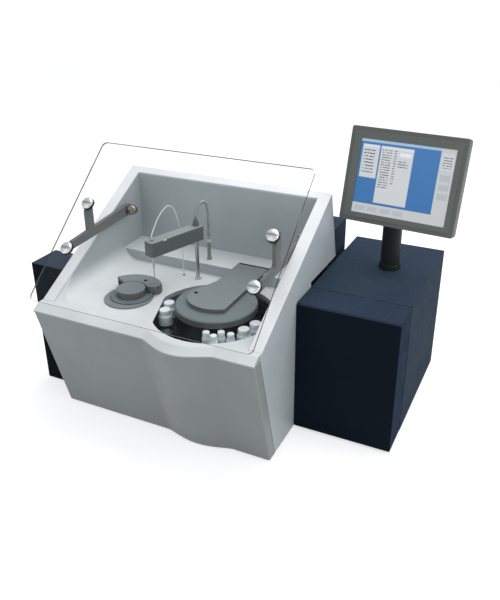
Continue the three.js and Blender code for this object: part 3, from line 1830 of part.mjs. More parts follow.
function monitorShell() {
  const gap = monitorShellWall;
  const front = bezelBack + fit;
  const back = headBack - gap;
  const barrel = monitorNeckWidth / 2 - monitorEarThickness - slideFit;
  const shell = cut(
    upright(headLeft, headRight, headFoot, headTop, monitorCorner, front, headBack),
    upright(headLeft + gap, headRight - gap, headFoot + gap, headTop - gap, wall, front - overrun, back),
  );
  const neck = box(-barrel, barrel, back, 0, -monitorBarrelRadius, monitorBarrelRadius);
  const eye = rodAlongX(-barrel, barrel, 0, 0, monitorBarrelRadius, smallRound);
  const bore = monitorPinRadius + slideFit;
  const hole = rodAlongX(-barrel - overrun, barrel + overrun, 0, 0, bore, smallRound);
  return cut(join(shell, neck, eye), hole);
}

function monitorPanel() {
  const front = headFront + screenRecess + wall;
  return screenWindow(panelMargin, front, front + panelThickness);
}

add('monitor_base', monitorBase(), black);
add('monitor_column', monitorColumn(), black, swivel);
add('monitor_shell', monitorShell(), bezelGrey, head);
add('monitor_bezel', monitorBezel(), bezelGrey, head);
add('monitor_panel', monitorPanel(), screenBlue, head);

// Origin at the middle of the footprint, on the bench

analyzer.updateMatrixWorld(true);
const bounds = new THREE.Box3().setFromObject(analyzer, true);
const middle = bounds.getCenter(new THREE.Vector3());
analyzer.position.set(-middle.x, -middle.y, -bounds.min.z);

export default analyzer;
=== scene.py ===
import json
import math

import bmesh
import bpy
from mathutils import Matrix, Vector


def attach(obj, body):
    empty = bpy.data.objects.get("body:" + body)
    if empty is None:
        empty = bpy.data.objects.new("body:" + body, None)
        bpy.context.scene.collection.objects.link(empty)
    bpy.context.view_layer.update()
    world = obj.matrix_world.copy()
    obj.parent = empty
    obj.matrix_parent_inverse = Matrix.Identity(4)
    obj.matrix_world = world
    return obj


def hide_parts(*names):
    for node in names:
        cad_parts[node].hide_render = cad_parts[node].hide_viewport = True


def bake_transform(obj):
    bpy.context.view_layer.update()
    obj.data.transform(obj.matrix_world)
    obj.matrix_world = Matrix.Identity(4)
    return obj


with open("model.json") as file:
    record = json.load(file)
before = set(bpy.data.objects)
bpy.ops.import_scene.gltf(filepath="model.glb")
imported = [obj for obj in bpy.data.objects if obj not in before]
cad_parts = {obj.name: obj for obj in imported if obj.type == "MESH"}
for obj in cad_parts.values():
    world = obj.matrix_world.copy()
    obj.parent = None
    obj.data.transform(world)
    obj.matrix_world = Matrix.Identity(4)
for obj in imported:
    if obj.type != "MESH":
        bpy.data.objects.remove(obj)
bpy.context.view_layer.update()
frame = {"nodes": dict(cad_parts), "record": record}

nodes = frame["nodes"]
body_of = {n: body for body, names in frame["record"]["behaviour"]["bodies"].items() for n in names}

# Shapes are drawn in millimetres from the middle of the white body, the face of the right
# cabinet's door and the bench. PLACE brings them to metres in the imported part's frame.
PLACE = Matrix.Translation((-0.083798, -0.0895, 0)) @ Matrix.Scale(0.001, 4)

# The body: half its width, its brow, its foot and its rear
HALF = 267.5
BROW_Y = -205.0
BROW_Z = 282.0
FOOT = 3.0
REAR = 371.0

# The front's wave: how far the foot stands behind the brow, and the wave's middle, half width and depth
FRONT_RAKE = 74
WAVE_X = 97
WAVE_HALF = 84
WAVE_DEPTH = 28

# Middles of the turned units
ROTOR = (101.0, -52.0)
OPENING = (103, -62)
COVER_CENTRE = (104.5, -50.5)
SLAB_LOBE = (92, -48.5)
CUVETTES = (-97.9, -75.0)
COLUMN = (-8.0, 66.0)
WASH = (-47.25, -54.08)
HOSE_GUIDE = (-9.7, 125.1)
MONITOR_POST = (396, 259)

# The arm: from the column to the needle, its turn at rest in degrees, its height, and the holes that it meets
REACH = 126.33
ARM_TURN = -108.1
ARM_UNDER = 394.0
ARM_TOP = 428.0
REAGENT_HOLE = (51.7, -45.34)
CUVETTE_HOLE = (-89.08, -30.87)

# The lid: its slope in degrees, its front edge, its knobs across and along the glass, and its pivots
LID_SLOPE = 41.4
LID_FRONT = (0, -210.7, 310.9)
KNOB_X = 227.5
KNOB_ALONG = (130, 244.5)
LID_PIVOT = (0, 118, 416)

# The camera, solved from the photograph's straight edges: turn, lean and roll in degrees, the eye in
# metres, the lens and the sensor in millimetres, and the picture's shift
CAMERA_ANGLES = (25.38383, 25.18448, -0.15289)
CAMERA_EYE = (0.65522, -1.26755, 0.98714)
LENS = 40.83
SENSOR = 36
SHIFT = (-0.0140, -0.0451)


# Placing

def linked(name, data):
    """A new object that stands in the scene."""
    made = bpy.data.objects.new(name, data)
    bpy.context.scene.collection.objects.link(made)
    return made


def posed(place, degrees, axis):
    return Matrix.Translation(place) @ Matrix.Rotation(math.radians(degrees), 4, axis)


# Camera

def camera():
    turn, lean, roll = (math.radians(angle) for angle in CAMERA_ANGLES)
    back = Vector((math.sin(turn) * math.cos(lean), -math.cos(turn) * math.cos(lean), math.sin(lean)))
    right = (-back).cross(Vector((0, 0, 1))).normalized()
    up = right.cross(-back)
    across = math.cos(roll) * right + math.sin(roll) * up
    above = -math.sin(roll) * right + math.cos(roll) * up
    data = bpy.data.cameras.new("camera")
    data.lens = LENS
    data.sensor_width = SENSOR
    data.shift_x, data.shift_y = SHIFT
    data.clip_end = 30
    eye = linked("camera", data)
    eye.matrix_world = Matrix((across, above, back)).transposed().to_4x4()
    eye.location = CAMERA_EYE
    bpy.context.scene.camera = eye


camera()


# Finishes

def joined(operation):
    return lambda self, other: self.finish.sum(operation, self, other)


class Signal:
    """One output of a shader node, which takes part in sums like a number."""

    def __init__(self, finish, socket):
        self.finish = finish
        self.socket = socket

    __add__ = joined("ADD")
    __sub__ = joined("SUBTRACT")
    __mul__ = joined("MULTIPLY")
    __gt__ = joined("GREATER_THAN")
    __lt__ = joined("LESS_THAN")


class Finish:
    """The shader of one material, or of the world."""

    def __init__(self, name, world=False):
        self.owner = (bpy.data.worlds if world else bpy.data.materials).new(name)
        self.end = "OutputWorld" if world else "OutputMaterial"
        self.owner.use_nodes = True
        self.tree = self.owner.node_tree
        self.tree.nodes.clear()

    def node(self, kind, inputs=None, output=0, **settings):
        """A new node, seen through one of its outputs."""
        made = self.tree.nodes.new("ShaderNode" + kind)
        for key, value in settings.items():
            setattr(made, key, value)
        for key, value in (inputs or {}).items():
            socket = made.inputs[key]
            if isinstance(value, Signal):
                self.tree.links.new(value.socket, socket)
            else:
                socket.default_value = (*value, 1.0) if socket.type == "RGBA" and len(value) == 3 else value
        return Signal(self, made.outputs[output])

    def sum(self, operation, first, second):
        return self.node("Math", {0: first, 1: second}, operation=operation)

    def place(self, output="Object"):
        return self.node("TexCoord", output=output)

    def ray(self, kind):
        return self.node("LightPath", output=f"Is {kind} Ray")

    def noise(self, scale, detail=3.0, stretch=(1, 1, 1)):
        spot = self.node("Mapping", {"Vector": self.place(), "Scale": stretch})
        return self.node("TexNoise", {"Vector": spot, "Scale": scale, "Detail": detail})

    def ramp(self, level, low, high, bottom=0.0, top=1.0):
        """Goes smoothly from bottom to top while the level goes from low to high."""
        values = {0: level, 1: low, 2: high, 3: bottom, 4: top}
        return self.node("MapRange", values, clamp=True, interpolation_type="SMOOTHSTEP")

    def upward(self):
        """1 on a face that looks up, 0 on an upright one."""
        return self.node("SeparateXYZ", {0: self.place("Normal")}, output=2)

    def facing(self, direction):
        """How far a face looks along direction."""
        values = {0: self.place("Normal"), 1: direction}
        return self.node("VectorMath", values, output=1, operation="DOT_PRODUCT")

    def mix(self, share, first, second):
        return self.node("Mix", {0: share, 6: first, 7: second}, output=2, data_type="RGBA")

    def varied(self, share, colour, dark, bright):
        return self.mix(share, shaded(colour, dark), shaded(colour, bright))

    def bump(self, height, depth, strength):
        return self.node("Bump", {"Height": height, "Distance": depth, "Strength": strength})

    def done(self, inputs):
        return self.ended(self.node("BsdfPrincipled", inputs))

    def ended(self, shader):
        end = self.tree.nodes.new("ShaderNode" + self.end)
        self.tree.links.new(shader.socket, end.inputs["Surface"])
        return self.owner


def shaded(colour, share):
    return tuple(min(channel * share, 1.0) for channel in colour)


def moulded(name, colour, roughness, grain=0.10, size=700, drift=0.05, side=None, shine=0.4, dust=0.0):
    """Plastic or paint with a fine grain. side is its colour on upright faces, darker as painted shade, and
    dust lies on top.
    """
    f = Finish(name)
    cloud = f.ramp(f.noise(7, 4), 0.35, 0.65)
    tone = f.varied(cloud, colour, 1 - drift, 1 + drift)
    # Painted shade: upright faces take the darker side colour, which blends to the top colour as a face turns
    # up.
    if side:
        upright = f.varied(cloud, side, 1 - drift, 1 + drift)
        tone = f.mix(f.ramp(f.upward(), 0.1, 0.95), upright, tone)
    if dust:
        specks = f.ramp(f.noise(260, 5), 0.55, 0.72) * f.ramp(f.upward(), 0.3, 0.9) * dust
        tone = f.mix(specks, tone, (0.62, 0.63, 0.62))
    return f.done({
        "Base Color": tone,
        "Roughness": f.ramp(f.noise(28, 4), 0.3, 0.7, roughness - 0.05, roughness + 0.06),
        "Specular IOR Level": shine,
        "Normal": f.bump(f.noise(size, 2), 0.0002, grain),
    })


def brushed(name, colour, roughness, stretch=(900, 900, 12), metal=1.0):
    """Metal drawn or turned along one direction."""
    f = Finish(name)
    lines = f.noise(1, 4, stretch)
    patch = f.noise(18, 3)
    tone = f.varied(f.ramp(lines, 0.25, 0.75), colour, 0.86, 1.08)
    rough = f.ramp(lines + (patch - 0.5) * 0.4, 0.2, 0.8, roughness - 0.08, roughness + 0.1)
    return f.done({
        "Base Color": tone,
        "Metallic": metal,
        "Roughness": rough,
        "Normal": f.bump(lines, 0.0001, 0.25),
    })


def polished(name, colour):
    """Satin chrome with faint handling marks, and a painted reflection: a dark band where it looks straight
    out of the lid.
    """
    f = Finish(name)
    marks = f.ramp(f.noise(90, 6), 0.5, 0.75)
    slope = math.radians(LID_SLOPE)
    uphill = f.facing((0, math.cos(slope), math.sin(slope)))
    # Painted reflection: a dark band across the dome where its faces look straight out of the lid.
    painted_reflection_foot = f.ramp(uphill, -0.16, -0.03)
    painted_reflection_top = f.ramp(uphill, -0.03, 0.10)
    shade = f.mix(painted_reflection_foot, colour, shaded(colour, 0.45))
    return f.done({
        "Base Color": f.mix(painted_reflection_top, shade, f.mix(marks, colour, shaded(colour, 0.93))),
        "Metallic": 1.0,
        "Roughness": f.ramp(marks, 0, 1, 0.38, 0.48),
        "Normal": f.bump(f.noise(60, 2), 0.0001, 0.06),
    })


def translucent(name, colour, roughness, under=0.35):
    """Milky plastic that light enters."""
    f = Finish(name)
    cloud = f.ramp(f.noise(45, 3), 0.35, 0.65)
    return f.done({
        "Base Color": f.varied(cloud, colour, 0.94, 1.06),
        "Roughness": f.ramp(f.noise(80, 3), 0.3, 0.7, roughness - 0.06, roughness + 0.08),
        "Subsurface Weight": under,
        "Subsurface Radius": (0.004, 0.0045, 0.0045),
        "Subsurface Scale": 1.0,
        "Normal": f.bump(f.noise(400, 2), 0.0001, 0.08),
    })


def glazing(name, colour, clear, edge, roughness=0.03):
    """Clear sheet or tube: the alpha grows from clear to edge where it is seen at a slant."""
    f = Finish(name)
    slant = f.node("LayerWeight", {"Blend": 0.25}, output=1)
    smear = f.ramp(f.noise(9, 5), 0.45, 0.8)
    return f.done({
        "Base Color": f.mix(smear, colour, shaded(colour, 0.96)),
        "Roughness": f.ramp(smear, 0, 1, roughness, roughness + 0.05),
        "Alpha": f.ramp(slant * slant + smear * 0.004, 0, 1, clear, edge),
        "IOR": 1.5,
    })


def screen_picture():
    """A lit screen with plain windows, lists and bars, drawn on the piece's own UV map."""
    f = Finish("screen_picture")
    uv = f.place("UV")
    u, v = (f.node("SeparateXYZ", {0: uv}, output=axis) for axis in (0, 1))

    def pane(u0, u1, v0, v1):
        return (u > u0) * (u < u1) * (v > v0) * (v < v1)

    def rows(count, ragged):
        """Ragged dashes in rows, which spell nothing."""
        line = f.sum("FLOOR", v * count, 0)
        inside = f.sum("FRACT", v * count, 0)
        spot = f.node("CombineXYZ", {0: u * ragged, 1: line * 3.7, 2: 0.0})
        words = f.node("TexNoise", {"Vector": spot, "Scale": 1.0, "Detail": 2.0})
        return (inside > 0.36) * (inside < 0.70) * (words > 0.43)

    blue = f.mix(f.ramp(v, 0.1, 1.0), (0.045, 0.180, 0.44), (0.060, 0.205, 0.48))
    light_blue = (0.42, 0.58, 0.75)
    grey = (0.60, 0.62, 0.63)
    pale = (0.66, 0.68, 0.70)
    button = (0.50, 0.53, 0.56)
    border = (0.30, 0.42, 0.58)
    title = (0.74, 0.78, 0.84)
    field = (0.86, 0.88, 0.90)
    ink = (0.10, 0.12, 0.16)
    tone = f.mix(pane(0.0, 1.0, 0.965, 1.0), blue, light_blue)
    tone = f.mix(pane(0.845, 1.0, 0.0, 1.0), tone, grey)
    tone = f.mix(pane(0.0, 1.0, 0.0, 0.135), tone, grey)
    tone = f.mix(pane(0.862, 0.985, 0.72, 0.94), tone, pale)
    buttons = [(0.87, 0.975, top - 0.08, top) for top in (0.66, 0.54, 0.42)]
    buttons += [(left, left + 0.11, 0.035, 0.10) for left in (0.03, 0.17, 0.31, 0.45)]
    for area in buttons:
        tone = f.mix(pane(*area), tone, button)
    windows = ((0.025, 0.205, 0.49, 0.93), (0.225, 0.57, 0.17, 0.93))
    for u0, u1, v0, v1 in windows:
        tone = f.mix(pane(u0 - 0.004, u1 + 0.004, v0 - 0.006, v1 + 0.006), tone, border)
        tone = f.mix(pane(u0, u1, v0, v1), tone, pale)
        tone = f.mix(pane(u0, u1, v1 - 0.035, v1), tone, title)
    tone = f.mix(pane(0.43, 0.55, 0.82, 0.87), tone, field)
    lists = (
        ((0.04, 0.165, 0.53, 0.88), 24, 75),
        ((0.24, 0.345, 0.36, 0.89), 30, 90),
        ((0.37, 0.40, 0.44, 0.89), 30, 90),
        ((0.42, 0.53, 0.66, 0.78), 30, 80),
        ((0.875, 0.97, 0.75, 0.91), 30, 80),
    )
    for area, count, ragged in lists:
        tone = f.mix(pane(*area) * rows(count, ragged), tone, ink)
    dots = f.node("TexNoise", {"Vector": uv, "Scale": 420.0, "Detail": 1.0})
    lit = f.mix(f.ramp(dots, 0.3, 0.7, 0.0, 0.06), tone, (0.02, 0.03, 0.05))
    return f.done({
        "Base Color": f.mix(0.72, lit, (0.004, 0.006, 0.008)),
        "Roughness": f.ramp(f.noise(12, 4), 0.3, 0.7, 0.26, 0.34),
        "Specular IOR Level": 0.2,
        "Emission Color": lit,
        "Emission Strength": 0.72,
    })


# The side colours here are painted shade on the upright faces of the white mouldings.
WHITE = moulded("white_moulding", (0.70, 0.725, 0.725), 0.42, side=(0.40, 0.435, 0.45))
RIM = moulded("white_rim", (0.80, 0.82, 0.83), 0.40, side=(0.62, 0.65, 0.67))
# Painted shade: the white front panel takes a mid grey for the shade that it stands in.
FRONT = moulded("front_painted_shade", (0.268, 0.292, 0.283), 0.46, drift=0.03)
# The side panels' grey is partly their own paint and partly painted shade.
SIDE = moulded("side_paint", (0.44, 0.485, 0.505), 0.5, drift=0.04)


# Dark paint whose side colour paints shade on upright faces.
def dark_paint(name, colour, side, dust=0.03):
    return moulded(name, colour, 0.6, 0.5, 900, side=side, shine=0.005, dust=dust)


# Painted shade on upright faces: faint on the cabinet, deep on the door's front and the left pod. The door's
# right-facing faces take a second copy of its paint whose painted shade is lighter, as more light falls
# there.
NAVY = dark_paint("navy_paint", (0.037, 0.054, 0.082), (0.034, 0.051, 0.074), 0.04)
DOOR = dark_paint("door_paint", (0.033, 0.049, 0.078), (0.009, 0.014, 0.021))
DOOR_LIT_SIDE = dark_paint("door_lit_side_paint", (0.033, 0.049, 0.078), (0.018, 0.031, 0.056), 0.0)
POD = dark_paint("pod_paint", (0.048, 0.063, 0.086), (0.008, 0.014, 0.018))
BLACK = moulded("black_plastic", (0.010, 0.012, 0.013), 0.42, grain=0.3, drift=0.25, shine=0.15, dust=0.02)
TUB_BLACK = moulded("carousel_black", (0.004, 0.007, 0.008), 0.22, grain=0.12, drift=0.3, shine=0.12)
RUBBER = moulded("rubber", (0.016, 0.016, 0.016), 0.8, grain=0.6, size=500, drift=0.2, shine=0.2)
# The side colours of the disc, cover and arm greys are painted shade on their upright faces.
DISC = moulded("disc_grey", (0.205, 0.230, 0.240), 0.45, grain=0.2, side=(0.105, 0.116, 0.117), drift=0.03)
COVER = moulded("cover_grey", (0.160, 0.190, 0.200), 0.45, grain=0.2, side=(0.070, 0.078, 0.074), drift=0.03)
ARM = moulded(
    "arm_grey", (0.26, 0.285, 0.290), 0.42, grain=0.2, side=(0.096, 0.110, 0.108), drift=0.04, shine=0.3,
)
CATCH = moulded("catch_white", (0.60, 0.63, 0.63), 0.35, grain=0.05)
LID_ARM = moulded("lid_arm_paint", (0.135, 0.145, 0.138), 0.5, grain=0.3)
SLEEVE = moulded("sleeve_grey", (0.24, 0.255, 0.250), 0.35)
# Matte light grey on the probe below the arm: a painted reflection of bright surroundings in its steel.
PROBE_REFLECTION = moulded("probe_painted_reflection", (0.46, 0.485, 0.495), 0.35)
BEZEL = moulded("bezel_grey", (0.128, 0.140, 0.130), 0.48, grain=0.35, drift=0.04, shine=0.25)
BEZEL_STEP = moulded("bezel_step", (0.138, 0.150, 0.140), 0.42, grain=0.2, drift=0.04, shine=0.25)
POST = moulded("post_grey", (0.016, 0.020, 0.019), 0.45, grain=0.4, drift=0.1, shine=0.15)
GREY_BOX = moulded("case_grey", (0.30, 0.31, 0.32), 0.5, grain=0.3)
PLATE = moulded("plate_grey", (0.28, 0.29, 0.30), 0.5, grain=0.3)
PINK = moulded("well_plastic", (0.74, 0.64, 0.63), 0.3, grain=0.05)
STEEL = brushed("steel", (0.46, 0.48, 0.49), 0.28)
COLUMN_STEEL = brushed("column_steel", (0.46, 0.48, 0.49), 0.34)
GLAND = moulded("gland_rubber", (0.115, 0.128, 0.122), 0.55, grain=0.3)
ALUMINIUM = brushed("aluminium", (0.60, 0.61, 0.62), 0.38, (40, 900, 900))
SCREW_STEEL = brushed("screw_steel", (0.50, 0.51, 0.52), 0.32, (300, 300, 300))
MOTOR = brushed("motor_metal", (0.10, 0.105, 0.105), 0.45, (60, 60, 400), 0.8)
PIVOT = brushed("pivot_bronze", (0.23, 0.215, 0.185), 0.28, (200, 200, 200))
HOSE = brushed("hose_metal", (0.30, 0.32, 0.32), 0.3, (250, 250, 250), 0.9)
BRASS = brushed("brass", (0.55, 0.42, 0.18), 0.3, (200, 200, 200))
CHROME = polished("satin_chrome", (0.74, 0.76, 0.76))
BOTTLE = translucent("bottle_plastic", (0.83, 0.92, 0.95), 0.30)
CAP = translucent("bottle_cap", (0.86, 0.93, 0.95), 0.34, under=0.2)
CUVETTE = translucent("cuvette_plastic", (0.30, 0.34, 0.35), 0.2, under=0.1)
GLASS = glazing("lid_glass", (0.86, 0.92, 0.92), 0.006, 0.35)
GLASS_EDGE = glazing("lid_glass_edge", (0.030, 0.042, 0.042), 0.85, 0.97, 0.12)
TUBE = glazing("clear_tube", (0.80, 0.84, 0.84), 0.55, 0.9, 0.2)
SCREEN = screen_picture()


# Shaping

def moved(bm, matrix):
    bmesh.ops.transform(bm, matrix=matrix, verts=bm.verts)
    return bm


def rounded(bm, edges, width, segments):
    bmesh.ops.bevel(
        bm, geom=edges, offset=width, offset_type="OFFSET", segments=segments, profile=0.5,
        affect="EDGES", material=-1, clamp_overlap=True,
    )
    return bm


def soften(bm, width, segments=3, angle=30):
    """Rounds every edge that is sharper than the angle."""
    limit = math.radians(angle)
    sharp = [e for e in bm.edges if len(e.link_faces) == 2 and e.calc_face_angle(0) > limit]
    return rounded(bm, sharp, width, segments)


def outward(bm):
    """Turns every face outward."""
    bmesh.ops.recalc_face_normals(bm, faces=bm.faces)
    return bm


def turned(profile, centre=(0, 0), steps=96, closed=True, sweep=360, start=0):
    """A profile of (radius, height) pairs, spun about an upright axis."""
    bm = bmesh.new()
    x, y = centre
    verts = [bm.verts.new((x + radius, y, z)) for radius, z in profile]
    edges = [bm.edges.new(pair) for pair in zip(verts, verts[1:])]
    if closed:
        edges.append(bm.edges.new((verts[-1], verts[0])))
    whole = sweep == 360
    geom = verts + edges
    if not whole:
        geom += [bm.faces.new(verts)]
    bmesh.ops.spin(
        bm, geom=geom, cent=(x, y, 0), axis=(0, 0, 1), angle=math.radians(sweep), steps=steps,
        use_merge=whole, use_duplicate=False,
    )
    bmesh.ops.remove_doubles(bm, verts=bm.verts, dist=0.0005)
    outward(bm)
    return turn_about(bm, centre, start) if start else bm


def turn_about(bm, centre, degrees):
    pin = Vector((*centre, 0))
    bmesh.ops.rotate(bm, verts=bm.verts, cent=pin, matrix=Matrix.Rotation(math.radians(degrees), 3, "Z"))
    return bm


def block(x0, x1, y0, y1, z0, z1, round_=0.0, segments=2):
    bm = bmesh.new()
    middle = Matrix.Translation(((x0 + x1) / 2, (y0 + y1) / 2, (z0 + z1) / 2))
    bmesh.ops.create_cube(bm, size=1, matrix=middle @ Matrix.Diagonal((x1 - x0, y1 - y0, z1 - z0, 1)))
    return soften(bm, round_, segments) if round_ else bm


def rod(x, y, z0, z1, radius, steps=48):
    bm = bmesh.new()
    bmesh.ops.create_cone(
        bm, cap_ends=True, segments=steps, radius1=radius, radius2=radius, depth=z1 - z0,
        matrix=Matrix.Translation((x, y, (z0 + z1) / 2)),
    )
    return bm


def sheet(stops, z0, z1):
    """An outline of straight runs and arcs, raised from z0 to z1. An arc is (x, y, degrees)."""
    bm = bmesh.new()
    tip = bm.verts.new((*stops[0], z0))
    for stop in stops[1:]:
        if len(stop) == 2:
            made = bmesh.ops.extrude_vert_indiv(bm, verts=[tip])
            tip = made["verts"][0]
            tip.co = (*stop, z0)
        else:
            x, y, degrees = stop
            steps = max(int(abs(degrees) / 3), 4)
            made = bmesh.ops.spin(
                bm, geom=[tip], cent=(x, y, z0), axis=(0, 0, 1), angle=math.radians(degrees),
                steps=steps, use_merge=False, use_duplicate=False,
            )
            tip = next(g for g in made["geom_last"] if isinstance(g, bmesh.types.BMVert))
    bmesh.ops.remove_doubles(bm, verts=bm.verts, dist=0.01)
    bmesh.ops.contextual_create(bm, geom=bm.edges[:] + bm.verts[:])
    made = bmesh.ops.extrude_face_region(bm, geom=bm.faces[:])
    top = [g for g in made["geom"] if isinstance(g, bmesh.types.BMVert)]
    bmesh.ops.translate(bm, verts=top, vec=(0, 0, z1 - z0))
    return outward(bm)


def pulled(bm, name="pulled"):
    """The mesh object of a finished bmesh."""
    mesh = bpy.data.meshes.new(name)
    bm.to_mesh(mesh)
    bm.free()
    return linked(name, mesh)


def dropped(made):
    mesh = made.data
    bpy.data.objects.remove(made)
    bpy.data.meshes.remove(mesh)


def gather(*parts):
    """Several shapes as one."""
    whole = bmesh.new()
    for part in parts:
        made = pulled(part)
        whole.from_mesh(made.data)
        dropped(made)
    return whole


def cut(bm, *tools):
    """The shape without each tool in turn."""
    base = pulled(bm)
    helpers = [pulled(tool) for tool in tools]
    for helper in helpers:
        change = base.modifiers.new("cut", "BOOLEAN")
        change.operation = "DIFFERENCE"
        change.solver = "EXACT"
        change.object = helper
    bpy.context.view_layer.update()
    ready = base.evaluated_get(bpy.context.evaluated_depsgraph_get())
    whole = bmesh.new()
    whole.from_mesh(ready.to_mesh())
    ready.to_mesh_clear()
    for made in [base, *helpers]:
        dropped(made)
    bmesh.ops.dissolve_limit(whole, angle_limit=math.radians(0.2), verts=whole.verts, edges=whole.edges)
    return whole


def painted(bm, choose=lambda middle, normal: 1):
    """Gives each face the material number that choose names for its middle and its normal."""
    for face in bm.faces:
        face.material_index = choose(face.calc_center_median(), face.normal)
    return bm


def piece(name, bm, body, slot, *finishes, replaces=(), crease=32, place=PLACE, even=True):
    """Brings a shape to its place as an object that rides on a body."""
    moved(bm, place)
    limit = math.radians(crease)
    for face in bm.faces:
        face.smooth = True
    for edge in bm.edges:
        edge.smooth = len(edge.link_faces) == 2 and edge.calc_face_angle(0) < limit
    made = pulled(bm, name)
    for finish in finishes:
        made.data.materials.append(finish)
    if even:
        made.modifiers.new("even shading", "WEIGHTED_NORMAL").keep_sharp = True
    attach(made, body)
    if replaces:
        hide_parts(*replaces)
    return made


def instead(node, ending, bm, slot, *finishes, **settings):
    """A piece that takes a CAD node's place on its body."""
    return piece(node + ending, bm, body_of[node], slot, *finishes, replaces=[node], **settings)


def dressed(node, slot, *finishes, width=0.8, segments=2, angle=32, choose=None):
    """A CAD node's own shape with rounded edges and smooth curves."""
    bm = bmesh.new()
    bm.from_mesh(nodes[node].data)
    bmesh.ops.remove_doubles(bm, verts=bm.verts, dist=2e-6)
    bmesh.ops.dissolve_limit(bm, angle_limit=math.radians(0.3), verts=bm.verts, edges=bm.edges)
    if choose:
        painted(bm, choose)
    made = instead(node, "_dressed", bm, slot, *finishes, place=Matrix())
    if width:
        edge = made.modifiers.new("rounded edges", "BEVEL")
        edge.width = width / 1000
        edge.segments = segments
        edge.limit_method = "ANGLE"
        edge.angle_limit = math.radians(angle)
        edge.use_clamp_overlap = False
        made.modifiers.move(1, 0)
    return made


def finished(finish, *names):
    """A finish for CAD nodes whose shape is right already."""
    for name in names:
        slots = nodes[name].data.materials
        slots.clear()
        slots.append(finish)


def on_circle(centre, radius, degrees):
    angle = math.radians(degrees)
    return (centre[0] + radius * math.cos(angle), centre[1] + radius * math.sin(angle))


# White body

def face_y(z):
    """Where the tilted front stands at a height."""
    return BROW_Y + (BROW_Z - z) * FRONT_RAKE / (BROW_Z - FOOT)


def wave(x, z):
    """How far the front bulges, most at the brow."""
    t = (x - WAVE_X) / WAVE_HALF
    share = min(0.6 + 0.4 * (z - FOOT) / (BROW_Z - FOOT), 1)
    return WAVE_DEPTH * (1 - t * t) ** 1.5 * share if abs(t) < 1 else 0


# The front panel's corner radius, how far its sides return, its height and its thickness
FRONT_CORNER = 4
FRONT_RETURN = 26.6
FRONT_HEIGHT = 275.7
FRONT_SHELL = 2.9


def front_panel():
    """The tilted front with its wave, from one rounded return to the other."""
    middle = (FRONT_CORNER - HALF, FRONT_CORNER)
    corner = [on_circle(middle, FRONT_CORNER, 180 + 90 * i / 8) for i in range(9)]
    other_corner = [(-x, y) for x, y in reversed(corner)]
    waved = [(WAVE_X - WAVE_HALF + 2 * i, 0) for i in range(WAVE_HALF + 1)]
    row = [(-HALF, FRONT_RETURN), *corner, *waved, *other_corner, (HALF, FRONT_RETURN)]
    across, up = len(row) - 1, 30
    bm = bmesh.new()
    bmesh.ops.create_grid(bm, x_segments=across, y_segments=up, size=0.5)
    for vert in bm.verts:
        x, y = row[round((vert.co.x + 0.5) * across)]
        z = FOOT + FRONT_HEIGHT * (vert.co.y + 0.5)
        vert.co = (x, y + face_y(z) - wave(x, z), z)
    outward(bm)
    if sum(face.normal.y for face in bm.faces) > 0:
        bmesh.ops.reverse_faces(bm, faces=bm.faces)
    bmesh.ops.solidify(bm, geom=bm.faces, thickness=FRONT_SHELL)
    return bm


instead("front_panel", "_wave", front_panel(), "white_shell", FRONT)


def front_seam(x0, x1):
    """A dark strip in the joint between the front panel and a side panel, which paints the shade in the
    joint.
    """
    rake = -FRONT_RAKE / (BROW_Z - FOOT)
    lean = Matrix(((1, 0, 0, 0), (0, 1, rake, face_y(0)), (0, 0, 1, 0), (0, 0, 0, 1)))
    return moved(block(x0, x1, 26.65, 27.95, FOOT + 0.5, 278, 0.1), lean)


seams = gather(front_seam(264.6, HALF - 0.15), front_seam(0.15 - HALF, -264.6))
# Painted shade: dark strips in the joints beside the front panel.
piece("front_seam_shade_strips", seams, "instrument", "rubber", RUBBER)


dressed("deck_moulding", "white_shell", WHITE, width=0.6)
dressed("rim_frame", "white_shell", RIM, width=1.4, segments=3)
dressed("side_panel_right", "side_paint", SIDE, width=1.2, segments=3)
dressed("side_panel_left", "side_paint", SIDE, width=1.2, segments=3)
dressed("rear_panel", "side_paint", SIDE)
dressed("rear_housing", "navy_paint", NAVY, width=0.9)
dressed("left_pod", "navy_paint", POD, width=1.5, segments=3)
finished(PLATE, "base_plate")


# Reagent carousel

# The radius of the needle's hole in the cover and in the slab
PROBE_HOLE = 5

# The height where the tub's wall turns from black to pale
TUB_PALE = 262


def reagent_tub():
    """The pit that the carousel turns in."""
    bm = turned([
        (6.2, 196), (16, 196), (16, 222), (145, 222), (145, 290.7), (142, 290.7), (142, TUB_PALE),
        (142, 225), (6.2, 225),
    ], ROTOR, 128)
    return painted(soften(bm, 0.8, 2), lambda middle, normal: 1 if middle.z > TUB_PALE else 0)


# Bottle places on the rack: the large ones on one ring, except where the small ones stand on two
LARGE_RING = 107
LARGE_HOLE = 16.2
SMALL_ANGLES = (-72, -63, -54, -45)
SMALL_RINGS = (98, 112, 98, 112)
SMALL_HOLE = 9.7
LARGE_ANGLES = [-172 + 18 * i for i in range(20)]
LARGE_PLACES = [on_circle(ROTOR, LARGE_RING, a) for a in LARGE_ANGLES if a < -85 or a > -40]
SMALL_PLACES = [on_circle(ROTOR, r, a) for r, a in zip(SMALL_RINGS, SMALL_ANGLES)]


def reagent_rotor():
    """A hub and two plates, the upper one with a hole for each bottle."""
    body = turned([
        (6, 231), (136, 231), (136, 235), (88, 235), (88, 257), (136, 257), (136, 261), (84, 261),
        (84, 235), (22, 235), (22, 267), (6, 267),
    ], ROTOR, 128)
    holes = [rod(x, y, 250, 268, LARGE_HOLE, 40) for x, y in LARGE_PLACES]
    holes += [rod(x, y, 250, 268, SMALL_HOLE, 32) for x, y in SMALL_PLACES]
    return cut(body, gather(*holes))


